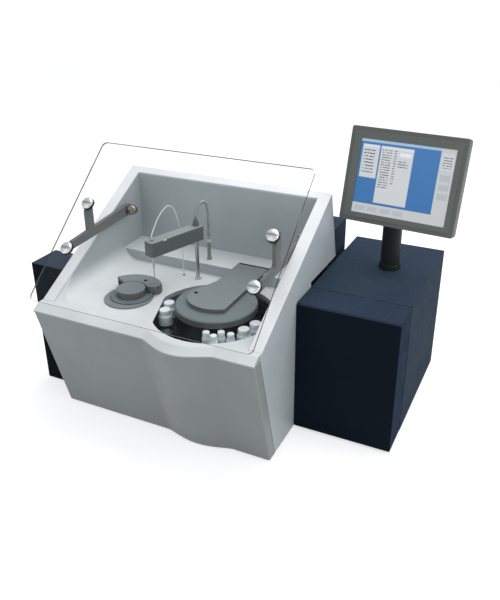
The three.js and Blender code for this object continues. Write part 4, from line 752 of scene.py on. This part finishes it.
def rack_collars():
    """Raised lips round the bottle places."""
    rings = [(place, LARGE_HOLE, 16.75, 40) for place in LARGE_PLACES]
    rings += [(place, SMALL_HOLE, 10.4, 28) for place in SMALL_PLACES]
    return gather(*[
        turned([(inner, 261.05), (outer, 261.05), (outer, 261.9), (inner, 261.9)], place, steps)
        for place, inner, outer, steps in rings
    ])


def opening_skirt():
    """The deck turned down round the opening, above the tub."""
    profile = [(131.9, 283.5), (133.1, 283.5), (133.1, 290.9), (131.9, 291.6)]
    return turned(profile, OPENING, 110, sweep=309, start=-135)


piece("opening_skirt_band", opening_skirt(), "instrument", "white_shell", WHITE)
instead("reagent_tub", "_wall", reagent_tub(), "black_plastic", TUB_BLACK, WHITE)
instead("reagent_rotor", "_rack", reagent_rotor(), "black_plastic", TUB_BLACK)
piece("rack_collars", rack_collars(), "carousel", "black_plastic", BLACK)


def bottle(place, radius, neck):
    """A milky bottle with a shoulder and a ribbed cap."""
    foot, top = 235.3, 295.7
    shoulder = top - 13
    drop = (radius - neck) / 2 + 0.6
    body = turned([
        (0, foot + 1), (radius * 0.6, foot + 0.2), (radius * 0.9, foot), (radius, foot + 1.4),
        (radius, shoulder - drop - 1.5), (radius - 0.7, shoulder - drop + 0.6),
        (neck + 0.6, shoulder + drop - 0.8), (neck - 0.9, shoulder + drop + 0.6), (neck - 0.9, top - 1),
        (0, top - 1),
    ], place, 40, closed=False)
    cap_foot = shoulder + drop + 2
    cap = turned([
        (neck - 0.85, cap_foot), (neck - 0.3, cap_foot), (neck - 0.3, top - 0.9), (neck - 1.1, top - 0.2),
        (neck - 2.2, top), (0, top - 0.15),
    ], place, 36, closed=False)
    sides = [f for f in cap.faces if abs(f.normal.z) < 0.2 and f.calc_area() > 1][::2]
    bmesh.ops.inset_individual(cap, faces=sides, thickness=0.12, depth=0.28)
    return body, painted(cap)


def bottle_row(angles, rings, radius, neck):
    """Bottles that stand together on one curved carrier."""
    parts = []
    for angle, ring in zip(angles, rings):
        parts += bottle(on_circle(ROTOR, ring, angle), radius, neck)
    first = min(angles)
    carrier = turned(
        [(100, 235.4), (114, 235.4), (114, 238.2), (100, 238.2)], ROTOR, 12,
        sweep=max(angles) - first, start=first,
    )
    return gather(*parts, carrier)


for name, angles, rings, radius, neck in (
    ("large_bottles_left", LARGE_ANGLES[:2], (LARGE_RING, LARGE_RING), 15.5, 12.2),
    ("large_bottles_right", LARGE_ANGLES[8:10], (LARGE_RING, LARGE_RING), 15.5, 12.2),
    ("small_bottles", SMALL_ANGLES, SMALL_RINGS, 9.2, 7.5),
):
    bottles = bottle_row(angles, rings, radius, neck)
    instead(name, "_moulded", bottles, "bottle_plastic", BOTTLE, CAP, crease=50)


def reagent_cover():
    shell = turned([
        (0, 308.7), (86.2, 308.7), (86.2, 296), (89, 296), (89, 309.2), (86.6, 311.7), (0, 311.7),
    ], COVER_CENTRE, 160, closed=False)
    soften(shell, 0.35, 2, 40)
    return cut(shell, rod(*REAGENT_HOLE, 290, 320, PROBE_HOLE, 40))


# The slab's straight sides and its rear end
SLAB_LEFT = 66
SLAB_RIGHT = 144
SLAB_REAR = 129


def cover_slab():
    """The raised slab: straight to the rear, with a round lobe and a corner in front."""
    outline = [
        (SLAB_RIGHT, -87.5), (SLAB_RIGHT, SLAB_REAR), (SLAB_LEFT, SLAB_REAR), (SLAB_LEFT, 26),
        on_circle(SLAB_LOBE, 52, 168), (*SLAB_LOBE, 76), (100.4, -31.3, 63.8),
    ]
    slab = soften(sheet(outline, 312.05, 321), 0.7, 3, 40)
    return cut(slab, rod(*REAGENT_HOLE, 300, 330, PROBE_HOLE, 40))


def slab_slot_shade():
    """Black floor and back wall in the slot between the slab's rear end and the ledge, as painted shade in
    the slot.
    """
    sides = (SLAB_LEFT + 0.6, SLAB_RIGHT - 0.6)
    end = SLAB_REAR + 7
    floor = block(*sides, SLAB_REAR, end, 312.1, 313.1, 0.2)
    return gather(floor, block(*sides, end, end + 1, 312.1, 319.8, 0.2))


def hole_shade_sleeve(hole, low, high, radius):
    """A black sleeve round a probe hole, whose black is painted shade inside the hole."""
    return turned([
        (3.5, low), (radius, low), (radius, high - 0.2), (radius - 0.3, high), (3.8, high), (3.5, high - 0.3),
    ], hole, 40)


instead("reagent_cover", "_disc", reagent_cover(), "disc_grey", COVER)
# Painted shade: a black sleeve darkens the reagent probe hole.
piece("reagent_hole_shade_sleeve", hole_shade_sleeve(REAGENT_HOLE, 308.8, 320.4, 4.98), "instrument", "black_plastic", BLACK)
# Painted shade: black floor and back wall in the slot behind the slab.
piece("slab_rear_slot_shade", slab_slot_shade(), "instrument", "black_plastic", BLACK)
instead("cover_slab", "_top", cover_slab(), "disc_grey", DISC)

finished(STEEL, "reagent_shaft", "motor_pulley", "lift_screw")
finished(MOTOR, "reagent_motor", "cuvette_motor", "photometer_block")
finished(RUBBER, "drive_belt")


# Cuvette unit

# The cuvettes: how many, where the first stands in degrees, and from where to where they reach
CUVETTE_COUNT = 20
CUVETTE_FIRST = 78.7
CUVETTE_NEAR = 42.5
CUVETTE_FAR = 46.9
CUVETTE_HALF = 2.3


def cuvette_dish():
    """The round dish let into the deck, and its flange."""
    bowl = turned([
        (9, 262), (49.2, 262), (49.2, 294.3), (50.2, 294.3), (50.2, 296.2), (49.6, 296.9), (48.7, 297),
        (48.2, 296.4), (48.2, 264), (9, 264),
    ], CUVETTES, 128)
    flange = soften(rod(CUVETTES[0], CUVETTES[1] - 11, 294.3, 296.9, 54, 128), 0.9, 3)
    flange = cut(flange, rod(*CUVETTES, 280, 310, 48.4, 128))
    return gather(bowl, flange)


def round_ring(shape):
    """A shape drawn east of the ring's middle, repeated at each cuvette's place."""
    angles = [CUVETTE_FIRST + 360 / CUVETTE_COUNT * i for i in range(CUVETTE_COUNT)]
    return gather(*[turn_about(shape(*CUVETTES), CUVETTES, angle) for angle in angles])


def pocket(x, y):
    half = CUVETTE_HALF + 0.1
    return block(x + CUVETTE_NEAR - 0.1, x + CUVETTE_FAR + 0.1, y - half, y + half, 270, 310)


def cuvette(x, y):
    """A clear cuvette whose rim stands level with the ring."""
    outer = block(x + CUVETTE_NEAR, x + CUVETTE_FAR, y - CUVETTE_HALF, y + CUVETTE_HALF, 270.2, 298.9)
    return cut(outer, block(x + 43.1, x + 46.5, y - 1.8, y + 1.8, 271, 305))


def cuvette_ring():
    body = turned([
        (0, 262.4), (2.5, 262.4), (2.5, 266), (47.3, 266), (47.5, 266.2), (47.5, 298.5), (47, 299),
        (31, 299), (31, 297), (38, 297), (38, 269), (10, 269), (10, 290), (0, 290),
    ], CUVETTES, 96, closed=False)
    return cut(body, round_ring(pocket))


def cuvette_cap():
    cap = turned([
        (0, 290.4), (10, 290.4), (10, 305), (28, 305), (28, 292), (30.2, 292), (30.2, 305.2), (31.7, 305.8),
        (31.7, 314), (30.8, 315), (0, 315),
    ], CUVETTES, 128, closed=False)
    return soften(cap, 0.3, 2, 60)


def crescent(inner, outer, low, high, bow_radius):
    """A band round the ring's rear whose right end is round."""
    x, y = CUVETTES
    section = [(outer, low), (outer, high), (inner, high), (inner, low)]
    band = turned(section, CUVETTES, 60, sweep=123, start=28)
    end = turn_about(block(x + 25, x + 75, y - 8, y + 17, low - 5, high + 5), CUVETTES, 28)
    bow = rod(*on_circle(CUVETTES, 51.1, 47.5), low - 10, high + 10, bow_radius, 64)
    return cut(band, cut(end, bow))


def cuvette_shield():
    """The crescent over the rear of the ring, with a skirt, a probe hole and dimples at its tip."""
    spots = [on_circle(CUVETTES, 41 + 5.5 * (i % 4), 38 + 4.5 * (i // 4)) for i in range(16)]
    dots = [rod(x, y, 314.2, 320, 1.1, 10) for x, y in spots]
    return cut(
        soften(crescent(33.2, 69, 294.4, 315, 17.7), 0.7, 2),
        crescent(28, 66, 280, 309, 14.7),
        rod(*CUVETTES, 280, 300, 51.4, 96),
        rod(*CUVETTE_HOLE, 300, 320, 4.6, 32),
        gather(*dots),
    )


def wash_well():
    """The cup in the deck that the needle is washed in."""
    return turned([
        (2.2, 295.8), (2.2, 271), (0, 271), (0, 268), (3, 268), (3, 294.3), (4.4, 294.3), (4.4, 295.4),
        (3.9, 296), (2.6, 296),
    ], WASH, 32, closed=False)


instead("cuvette_dish", "_rolled", cuvette_dish(), "disc_grey", DISC)
# Painted shade: a black sleeve darkens the cuvette probe hole.
piece("cuvette_hole_shade_sleeve", hole_shade_sleeve(CUVETTE_HOLE, 309.2, 314.7, 4.58), "instrument", "black_plastic", BLACK)
instead("cuvette_ring", "_pockets", cuvette_ring(), "disc_grey", COVER)
piece("cuvette_cups", round_ring(cuvette), "cuvettes", "bottle_plastic", CUVETTE)
instead("cuvette_cap", "_disc", cuvette_cap(), "disc_grey", DISC)
instead("cuvette_shield", "_crescent", cuvette_shield(), "disc_grey", DISC)
instead("wash_well", "_cup", wash_well(), "bottle_plastic", PINK)


# Lift and pipetting arm

ARM_PLACE = posed((*COLUMN, 0), ARM_TURN, "Z")


# How far the arm's cover reaches past the column and the needle, half its width, and its shell
ARM_END = 12
ARM_HALF = 14
ARM_SHELL = 2


def arm_cover():
    """A cover that is open below, with grooves and a notch for the catch."""
    shell = block(-ARM_END, REACH + ARM_END, -ARM_HALF, ARM_HALF, ARM_UNDER, ARM_TOP)
    inner_end = ARM_END - ARM_SHELL
    inner_half = ARM_HALF - ARM_SHELL
    ends = [e for e in shell.edges if abs((e.verts[0].co - e.verts[1].co).z) > 1]
    shell = cut(
        soften(rounded(shell, ends, 4.5, 6), 1.4, 3),
        block(REACH - 30, REACH - 20, 10.6, 15, 424.6, 430),
        block(-inner_end, REACH + inner_end, -inner_half, inner_half, ARM_UNDER - 6, ARM_TOP - ARM_SHELL),
        rod(0, 0, 420, 440, 5, 32),
        rod(REACH, 0, 420, 440, 2.5, 24),
    )
    grooves = [block(-13, REACH + 13, y - 0.35, y + 0.35, 423.2, 423.8) for y in (-14.1, 14.1)]
    return moved(cut(shell, gather(*grooves)), ARM_PLACE)


def arm_catch():
    """The small pale catch that holds the cover at its free end."""
    return moved(block(REACH - 29.4, REACH - 20.6, 10.8, 13.6, 424.2, 427.6, 0.5), ARM_PLACE)


def probe():
    """The needle in its sleeve, with its fitting."""
    needle = turned([
        (0, 338), (0.6, 338.6), (1.35, 341), (1.35, 363.4), (2.7, 365.6), (2.7, 374.6), (2.9, 376.4),
        (2.9, 428.3), (3.5, 428.5), (3.5, 432.6), (2.6, 433.4), (2.2, 434.3), (0, 434.3),
    ], (REACH, 0), 28, closed=False)
    # Below the arm the probe takes the matte light grey, a painted reflection in its steel.
    return moved(painted(needle, lambda middle, normal: 1 if 340 < middle.z < 428.4 else 0), ARM_PLACE)


instead("arm_cover", "_shell", arm_cover(), "arm_paint", ARM)
piece("arm_catch", arm_catch(), "arm", "arm_paint", CATCH)
instead("probe", "_needle", probe(), "steel", STEEL, PROBE_REFLECTION)
finished(ALUMINIUM, "arm_chassis", "lift_guide")
finished(BRASS, "lift_nut")
instead("arm_column", "_rod", turned([
    (0, 120), (4, 120), (4.5, 120.6), (4.5, 427.8), (4, 428.3), (0, 428.3),
], COLUMN, 40, closed=False), "steel", COLUMN_STEEL)


def column_gland():
    """A rubber gland that narrows in rings towards the hose."""
    profile = [(0, 428.6), (7.4, 428.6), (8, 429.2), (8, 431)]
    for i in range(5):
        z = 431.6 + i * 2.5
        radius = 7.4 - 0.72 * i
        profile += [(radius - 0.7, z), (radius, z + 0.7), (radius - 0.1, z + 1.8)]
    profile += [(3.6, 444.6), (3.3, 445.6), (0, 445.6)]
    return turned(profile, COLUMN, 40, closed=False)


instead("column_gland", "_rings", column_gland(), "black_plastic", GLAND)


def spline(points, count):
    """Points at even steps along a smooth curve through the given ones."""
    points = [Vector(p) for p in points]
    ends = [2 * points[0] - points[1], *points, 2 * points[-1] - points[-2]]
    fine = []
    for a, b, c, d in zip(ends, ends[1:], ends[2:], ends[3:]):
        for i in range(24):
            t = i / 24
            fine.append(0.5 * (2 * b + (c - a) * t + (2 * a - 5 * b + 4 * c - d) * t * t
                               + (3 * b - a - 3 * c + d) * t ** 3))
    fine.append(points[-1])
    lengths = [0.0]
    for a, b in zip(fine, fine[1:]):
        lengths.append(lengths[-1] + (b - a).length)
    made = []
    at = 0
    for i in range(count + 1):
        goal = lengths[-1] * i / count
        while at < len(lengths) - 2 and lengths[at + 1] < goal:
            at += 1
        run = lengths[at + 1] - lengths[at]
        made.append(fine[at].lerp(fine[at + 1], (goal - lengths[at]) / run if run else 0))
    return made


def hose(points, count, sides, radius_at):
    """A tube along a curve. radius_at gives the radius for a share of the length from 0 to 1."""
    middle = spline(points, count)
    bm = bmesh.new()
    bmesh.ops.create_grid(bm, x_segments=count, y_segments=sides, size=0.5)
    side = Vector((1, 0, 0))
    frames = []
    for i, spot in enumerate(middle):
        ahead = (middle[min(i + 1, count)] - middle[max(i - 1, 0)]).normalized()
        side = (side - side.dot(ahead) * ahead).normalized()
        frames.append((spot, side.copy(), ahead.cross(side)))
    for vert in bm.verts:
        i = round((vert.co.x + 0.5) * count)
        spot, first, second = frames[i]
        angle = 2 * math.pi * (vert.co.y + 0.5)
        radius = radius_at(i / count)
        vert.co = spot + radius * (math.cos(angle) * first + math.sin(angle) * second)
    bmesh.ops.remove_doubles(bm, verts=bm.verts, dist=0.0005)
    bmesh.ops.holes_fill(bm, edges=bm.edges, sides=sides + 1)
    return outward(bm)


HOSE_RADIUS = 2.9
RIB_HEIGHT = 0.3
RIB_COUNT = 88
TUBE_RADIUS = 1.3
HOSE_ROUTE = [
    (-8, 66, 445.9), (-8, 66.2, 451.6), (-8.3, 71.5, 461.5), (-8.6, 80.5, 470), (-8.9, 93.5, 474),
    (-9.2, 107, 471), (-9.4, 117.5, 462), (-9.6, 124, 448), (-9.7, 125.1, 437), (-9.7, 125.1, 425),
    (-9.7, 125.1, 400), (-9.7, 125.1, 340),
]
TUBE_ROUTE = [
    (*WASH, 434.6), (-47.6, -53, 441), (-49.5, -42, 450), (-51.6, -26, 462), (-51.4, -11, 473),
    (-49.8, 1, 480.5), (-48.2, 15, 484.5), (-47.6, 32, 477), (-47.8, 46, 458), (-48.1, 58, 425),
    (-48.2, 66, 390), (-48.3, 68.3, 362), (-48.3, 68.3, 330), (-48.3, 68.3, 276),
]


def rib_radius(share):
    return HOSE_RADIUS + RIB_HEIGHT * math.cos(2 * math.pi * RIB_COUNT * share)


ribbed = hose(HOSE_ROUTE, 620, 14, rib_radius)
instead("ribbed_hose", "_rings", ribbed, "steel", HOSE, crease=80, even=False)

clear = hose(TUBE_ROUTE, 150, 14, lambda share: TUBE_RADIUS)
clear = instead("clear_tube", "_bend", clear, "clear_tube", TUBE, crease=80, even=False)
clear.parent = None
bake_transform(clear)


def hose_guide():
    """The sleeve on the ledge, with a pale collar on top."""
    sleeve = turned([
        (3.5, 258), (4.6, 258), (4.6, 320.3), (6, 320.3), (6, 324.6), (5.4, 325.3), (4.6, 325.5),
        (4.6, 364.5), (5.3, 365), (5.3, 366.4), (4.7, 366.9), (5.3, 367.4), (5.3, 368.8), (4.7, 369.3),
        (4.9, 371.4), (4.4, 372), (3.5, 372),
    ], HOSE_GUIDE, 40)
    return painted(sleeve, lambda middle, normal: 1 if middle.z > 364.6 else 0)


piece(
    "hose_guide_sleeve", hose_guide(), "instrument", "arm_metal", SLEEVE, CATCH,
    replaces=["hose_guide_tube"],
)
piece("tube_grommet", turned([
    (1.5, 293.5), (3.6, 293.9), (3.6, 295), (3, 295.8), (1.9, 296.2), (1.5, 296),
], TUBE_ROUTE[-1][:2], 28), "instrument", "rubber", SLEEVE)


# Lid

LID_PLACE = posed(LID_FRONT, LID_SLOPE, "X")
PANE_UP = LID_PLACE.to_3x3() @ Vector((0, 0, 1))

dressed(
    "lid_glass", "lid_glass", GLASS, GLASS_EDGE, width=0.6,
    choose=lambda middle, normal: 0 if abs(normal.dot(PANE_UP)) > 0.9 else 1,
)


def knob():
    """A domed clamp knob, and the washer under it."""
    body = turned([
        (0, 0), (3, 0), (3, 9.2), (13, 9.2), (14, 10), (14, 12.2), (13.3, 13.6), (12, 14.9), (10, 16),
        (7, 16.8), (3.5, 17.2), (0, 17.3),
    ], (0, 0), 72, closed=False)
    washer = turned([(3.2, 5.3), (14.6, 5.3), (15, 5.7), (15, 8.6), (14.4, 9.1), (3.2, 9.1)], (0, 0), 72)
    return gather(body, painted(washer))


for i, (x, along) in enumerate((x, along) for x in (-KNOB_X, KNOB_X) for along in KNOB_ALONG):
    bm = moved(knob(), LID_PLACE @ Matrix.Translation((x, along, 0)))
    instead(f"lid_knob_{i + 1}", "_dome", bm, "knob_chrome", CHROME, RUBBER, crease=40)

# How far the arms stand outside the middle of the knobs in the photograph, in metres
ARM_OUTWARD = 0.006
for name, side in (("lid_arm_left", -1), ("lid_arm_right", 1)):
    made = dressed(name, "arm_metal", LID_ARM, width=1.1, segments=3)
    made.data.transform(Matrix.Translation((side * ARM_OUTWARD, 0, 0)))

# Each knob clamps the glass to a lug on its arm's inner face
LUG_X = 225
LUG_HALF = 3.95
lugs = [
    moved(block(x - LUG_HALF, x + LUG_HALF, along - 12, along + 12, -3.6, -0.35, 0.6), LID_PLACE)
    for x in (-LUG_X, LUG_X) for along in KNOB_ALONG
]
piece("lid_arm_lugs", gather(*lugs), "lid", "arm_metal", LID_ARM)


def pivot(side, tip):
    """The pin through a lid arm, with a dome on its open side that reaches in as far as tip."""
    dome = [(0, 0), (3.2, 0.3), (6.6, 1.4), (9.6, 3.3), (11.8, 6), (13, 9.2), (13.3, 12.6)]
    dome_foot = 224.6
    stretch = (dome_foot - tip) / dome[-1][1]
    bm = turned([(radius, tip + stretch * z) for radius, z in dome] + [
        (13, 228.3), (4.3, 228.5), (4.3, 238.7), (0, 238.7),
    ], (0, 0), 56, closed=False)
    return moved(bm, posed(LID_PIVOT, 90 * side, "Y"))


for name, side, tip in (("lid_pivot_right", 1, 220.6), ("lid_pivot_left", -1, 206)):
    instead(name, "_dome", pivot(side, tip), "motor_metal", PIVOT)


# Right cabinet

dressed("cabinet_shell", "navy_paint", NAVY, width=0.9)
# The door's front takes the paint with deep painted shade, and its right side the copy with lighter painted
# shade.
dressed(
    "cabinet_door", "navy_paint", DOOR, DOOR_LIT_SIDE, width=0.9,
    choose=lambda middle, normal: 1 if normal.x > 0.5 else 0,
)
finished(BLACK, "door_hinge")


def computer():
    """The case with its drive bay, button and vents."""
    front = 103
    case = block(305.5, 455.5, front, 353, 7.3, 237.3, 1.2)
    vents = [block(330, 431, front - 3, front + 2, 40 + 9 * i, 44 + 9 * i) for i in range(9)]
    bay = block(325.5, 435.5, front - 3, front + 4, 185.3, 211.3, 0.8)
    tray = block(330.5, 430.5, front - 3.3, front, 189.3, 203.3, 0.6)
    button = turned([(0, 0), (5, 0), (5, 1.6), (4.2, 2.2), (0, 2.3)], (0, 0), 32, closed=False)
    moved(button, posed((342, front, 166), 90, "X"))
    return gather(cut(case, gather(*vents)), painted(bay), tray, painted(button))


piece("computer_case", computer(), "instrument", "box_grey", GREY_BOX, BLACK, replaces=["computer_unit"])


# Rear: supply, fan, inlet and screws

finished(GREY_BOX, "power_supply")
finished(BLACK, "fan_frame", "fan_rotor")
dressed("power_switch", "black_plastic", RUBBER, width=0.5)


def screw(place, facing):
    """A small domed screw with a slot, whose head looks along facing."""
    profile = [(0, -1), (2.6, -1), (2.6, 0.5), (2.1, 1.2), (1.1, 1.6), (0, 1.7)]
    head = cut(turned(profile, steps=16, closed=False), block(-3, 3, -0.35, 0.35, 0.9, 3))
    turn = Vector((0, 0, 1)).rotation_difference(Vector(facing)).to_matrix().to_4x4()
    return moved(head, Matrix.Translation(place) @ turn)


BACKWARD = (0, 1, 0)
LEFTWARD = (-1, 0, 0)
screws = [screw((x, REAR, z), BACKWARD) for x in (-240, 0, 240) for z in (20, 372)]
screws += [screw((x, REAR, 196), BACKWARD) for x in (-240, 240)]
screws += [screw((-HALF, y, z), LEFTWARD) for y, z in ((-110, 20), (230, 20), (238, 180), (220, 420))]
piece("case_screws", gather(*screws), "instrument", "steel", SCREW_STEEL)


cover = block(-60, 60, REAR - 0.1, REAR + 1.4, 120, 300, 0.6)
piece("service_cover", cover, "instrument", "navy_paint", NAVY)
piece("service_cover_screws", gather(*[
    screw((x, REAR + 1.3, z), BACKWARD) for x in (-52, 52) for z in (128, 292)
]), "instrument", "steel", SCREW_STEEL)


# Monitor

# The screen's edges in the head, the head's turn and lean at rest in degrees, and the height of its pin
WINDOW = (-78.6, 129.8, -48.2, 112.2)
HEAD_TURN = -4.8
HEAD_LEAN = -15.1
HEAD_HEIGHT = 500
HEAD = posed((*MONITOR_POST, 0), HEAD_TURN, "Z") @ posed((0, 0, HEAD_HEIGHT), HEAD_LEAN, "X")


def upright_frame(outer, inner, y0, y1, corner, round_=0.5):
    """A rectangular ring in X and Z between two depths."""
    x0, x1, z0, z1 = outer
    u0, u1, w0, w1 = inner
    body = block(x0, x1, y0, y1, z0, z1)
    posts = [e for e in body.edges if abs((e.verts[0].co - e.verts[1].co).y) > 1]
    soften(rounded(body, posts, corner, 8), round_, 3)
    return cut(body, block(u0, u1, y0 - 5, y1 + 5, w0, w1))


def monitor_bezel():
    """A flat frame with a raised inner frame, whose mouth slopes to the screen."""
    outer = upright_frame((-104.8, 151.2, -68.6, 137.8), WINDOW, -52.5, -46.1, 5, 0.8)
    step = upright_frame((-95.8, 142.2, -59.6, 128.8), WINDOW, -54.1, -51.5, 3, 0.6)
    return gather(outer, painted(step))


def screen():
    """The glass face of the screen, with its own UV map."""
    x0, x1, z0, z1 = WINDOW
    face = block(x0 - 3, x1 + 3, -51.2, -43, z0 - 3, z1 + 3)
    layer = face.loops.layers.uv.new("picture")
    for side in face.faces:
        for loop in side.loops:
            loop[layer].uv = ((loop.vert.co.x - x0) / (x1 - x0), (loop.vert.co.z - z0) / (z1 - z0))
    return face


instead("monitor_bezel", "_frame", moved(monitor_bezel(), HEAD), "bezel_grey", BEZEL, BEZEL_STEP)
piece("monitor_screen", moved(screen(), HEAD), "monitor_head", "screen", SCREEN, replaces=["monitor_panel"])
dressed("monitor_shell", "bezel_grey", BEZEL, width=1.0)
dressed("monitor_column", "black_plastic", POST, width=0.7)


def door_seal():
    """A black seal on the cabinet's front edge, in the joint with the door."""
    return upright_frame((269.6, 486, 6.6, 321.3), (273, 483, 10, 318), 83.78, 84.9, 1, 0.2)


piece("door_seal_frame", door_seal(), "instrument", "rubber", RUBBER)


def monitor_foot():
    return turned([
        (0, 322.3), (24.4, 322.3), (24.8, 322.8), (24.8, 332), (23.4, 335.6), (22.2, 336.3), (12, 336.3),
        (12, 356.3), (0, 356.3),
    ], MONITOR_POST, 72, closed=False)


piece("monitor_foot", monitor_foot(), "instrument", "black_plastic", POST, replaces=["monitor_base"])


# Floor, light and background

# The floor's tone, the light that it adds where it is seen, and the strength of the sky
PAPER = 0.62
GLOW = 0.62
SKY = 0.62


def stage():
    """A pale floor that looks white and keeps the object's shadow."""
    f = Finish("floor_paper")
    seen = f.sum("MAXIMUM", f.sum("MAXIMUM", f.ray("Camera"), f.ray("Glossy")), f.ray("Transmission"))
    paper = f.node("BsdfDiffuse", {"Color": (PAPER, PAPER, PAPER)})
    glow = f.node("Emission", {"Color": (1, 1, 1), "Strength": GLOW})
    both = f.node("AddShader", {0: paper, 1: glow})
    material = f.ended(f.node("MixShader", {0: seen, 1: paper, 2: both}))
    bm = bmesh.new()
    bmesh.ops.create_grid(bm, x_segments=4, y_segments=4, size=4)
    floor = pulled(bm, "floor")
    floor.location.z = -0.0002
    floor.data.materials.append(material)


def surroundings():
    """A sky that is white where it is seen, and lights the object softly."""
    f = Finish("studio", world=True)
    seen = f.sum("MAXIMUM", f.ray("Camera"), f.ray("Transmission"))
    light = f.node("Background", {"Color": (0.93, 0.96, 1.0), "Strength": SKY})
    paper = f.node("Background", {"Color": (1, 1, 1), "Strength": 1.0})
    bpy.context.scene.world = f.ended(f.node("MixShader", {0: seen, 1: light, 2: paper}))


def lamp(name, place, size, power):
    """A square soft lamp that looks at the object."""
    data = bpy.data.lights.new(name, "AREA")
    data.shape = "SQUARE"
    data.size = size
    data.energy = power
    made = linked(name, data)
    made.location = place
    made.rotation_euler = (Vector((0, 0, 0.3)) - Vector(place)).to_track_quat("-Z", "Y").to_euler()


stage()
surroundings()
lamp("overhead", (0.3, 0.9, 2.6), 2.2, 40)
lamp("right", (2.6, -0.2, 1.4), 1.6, 20)
lamp("front", (-0.8, -2.6, 1.6), 1.8, 9)

bpy.context.scene.view_settings.view_transform = "Standard"
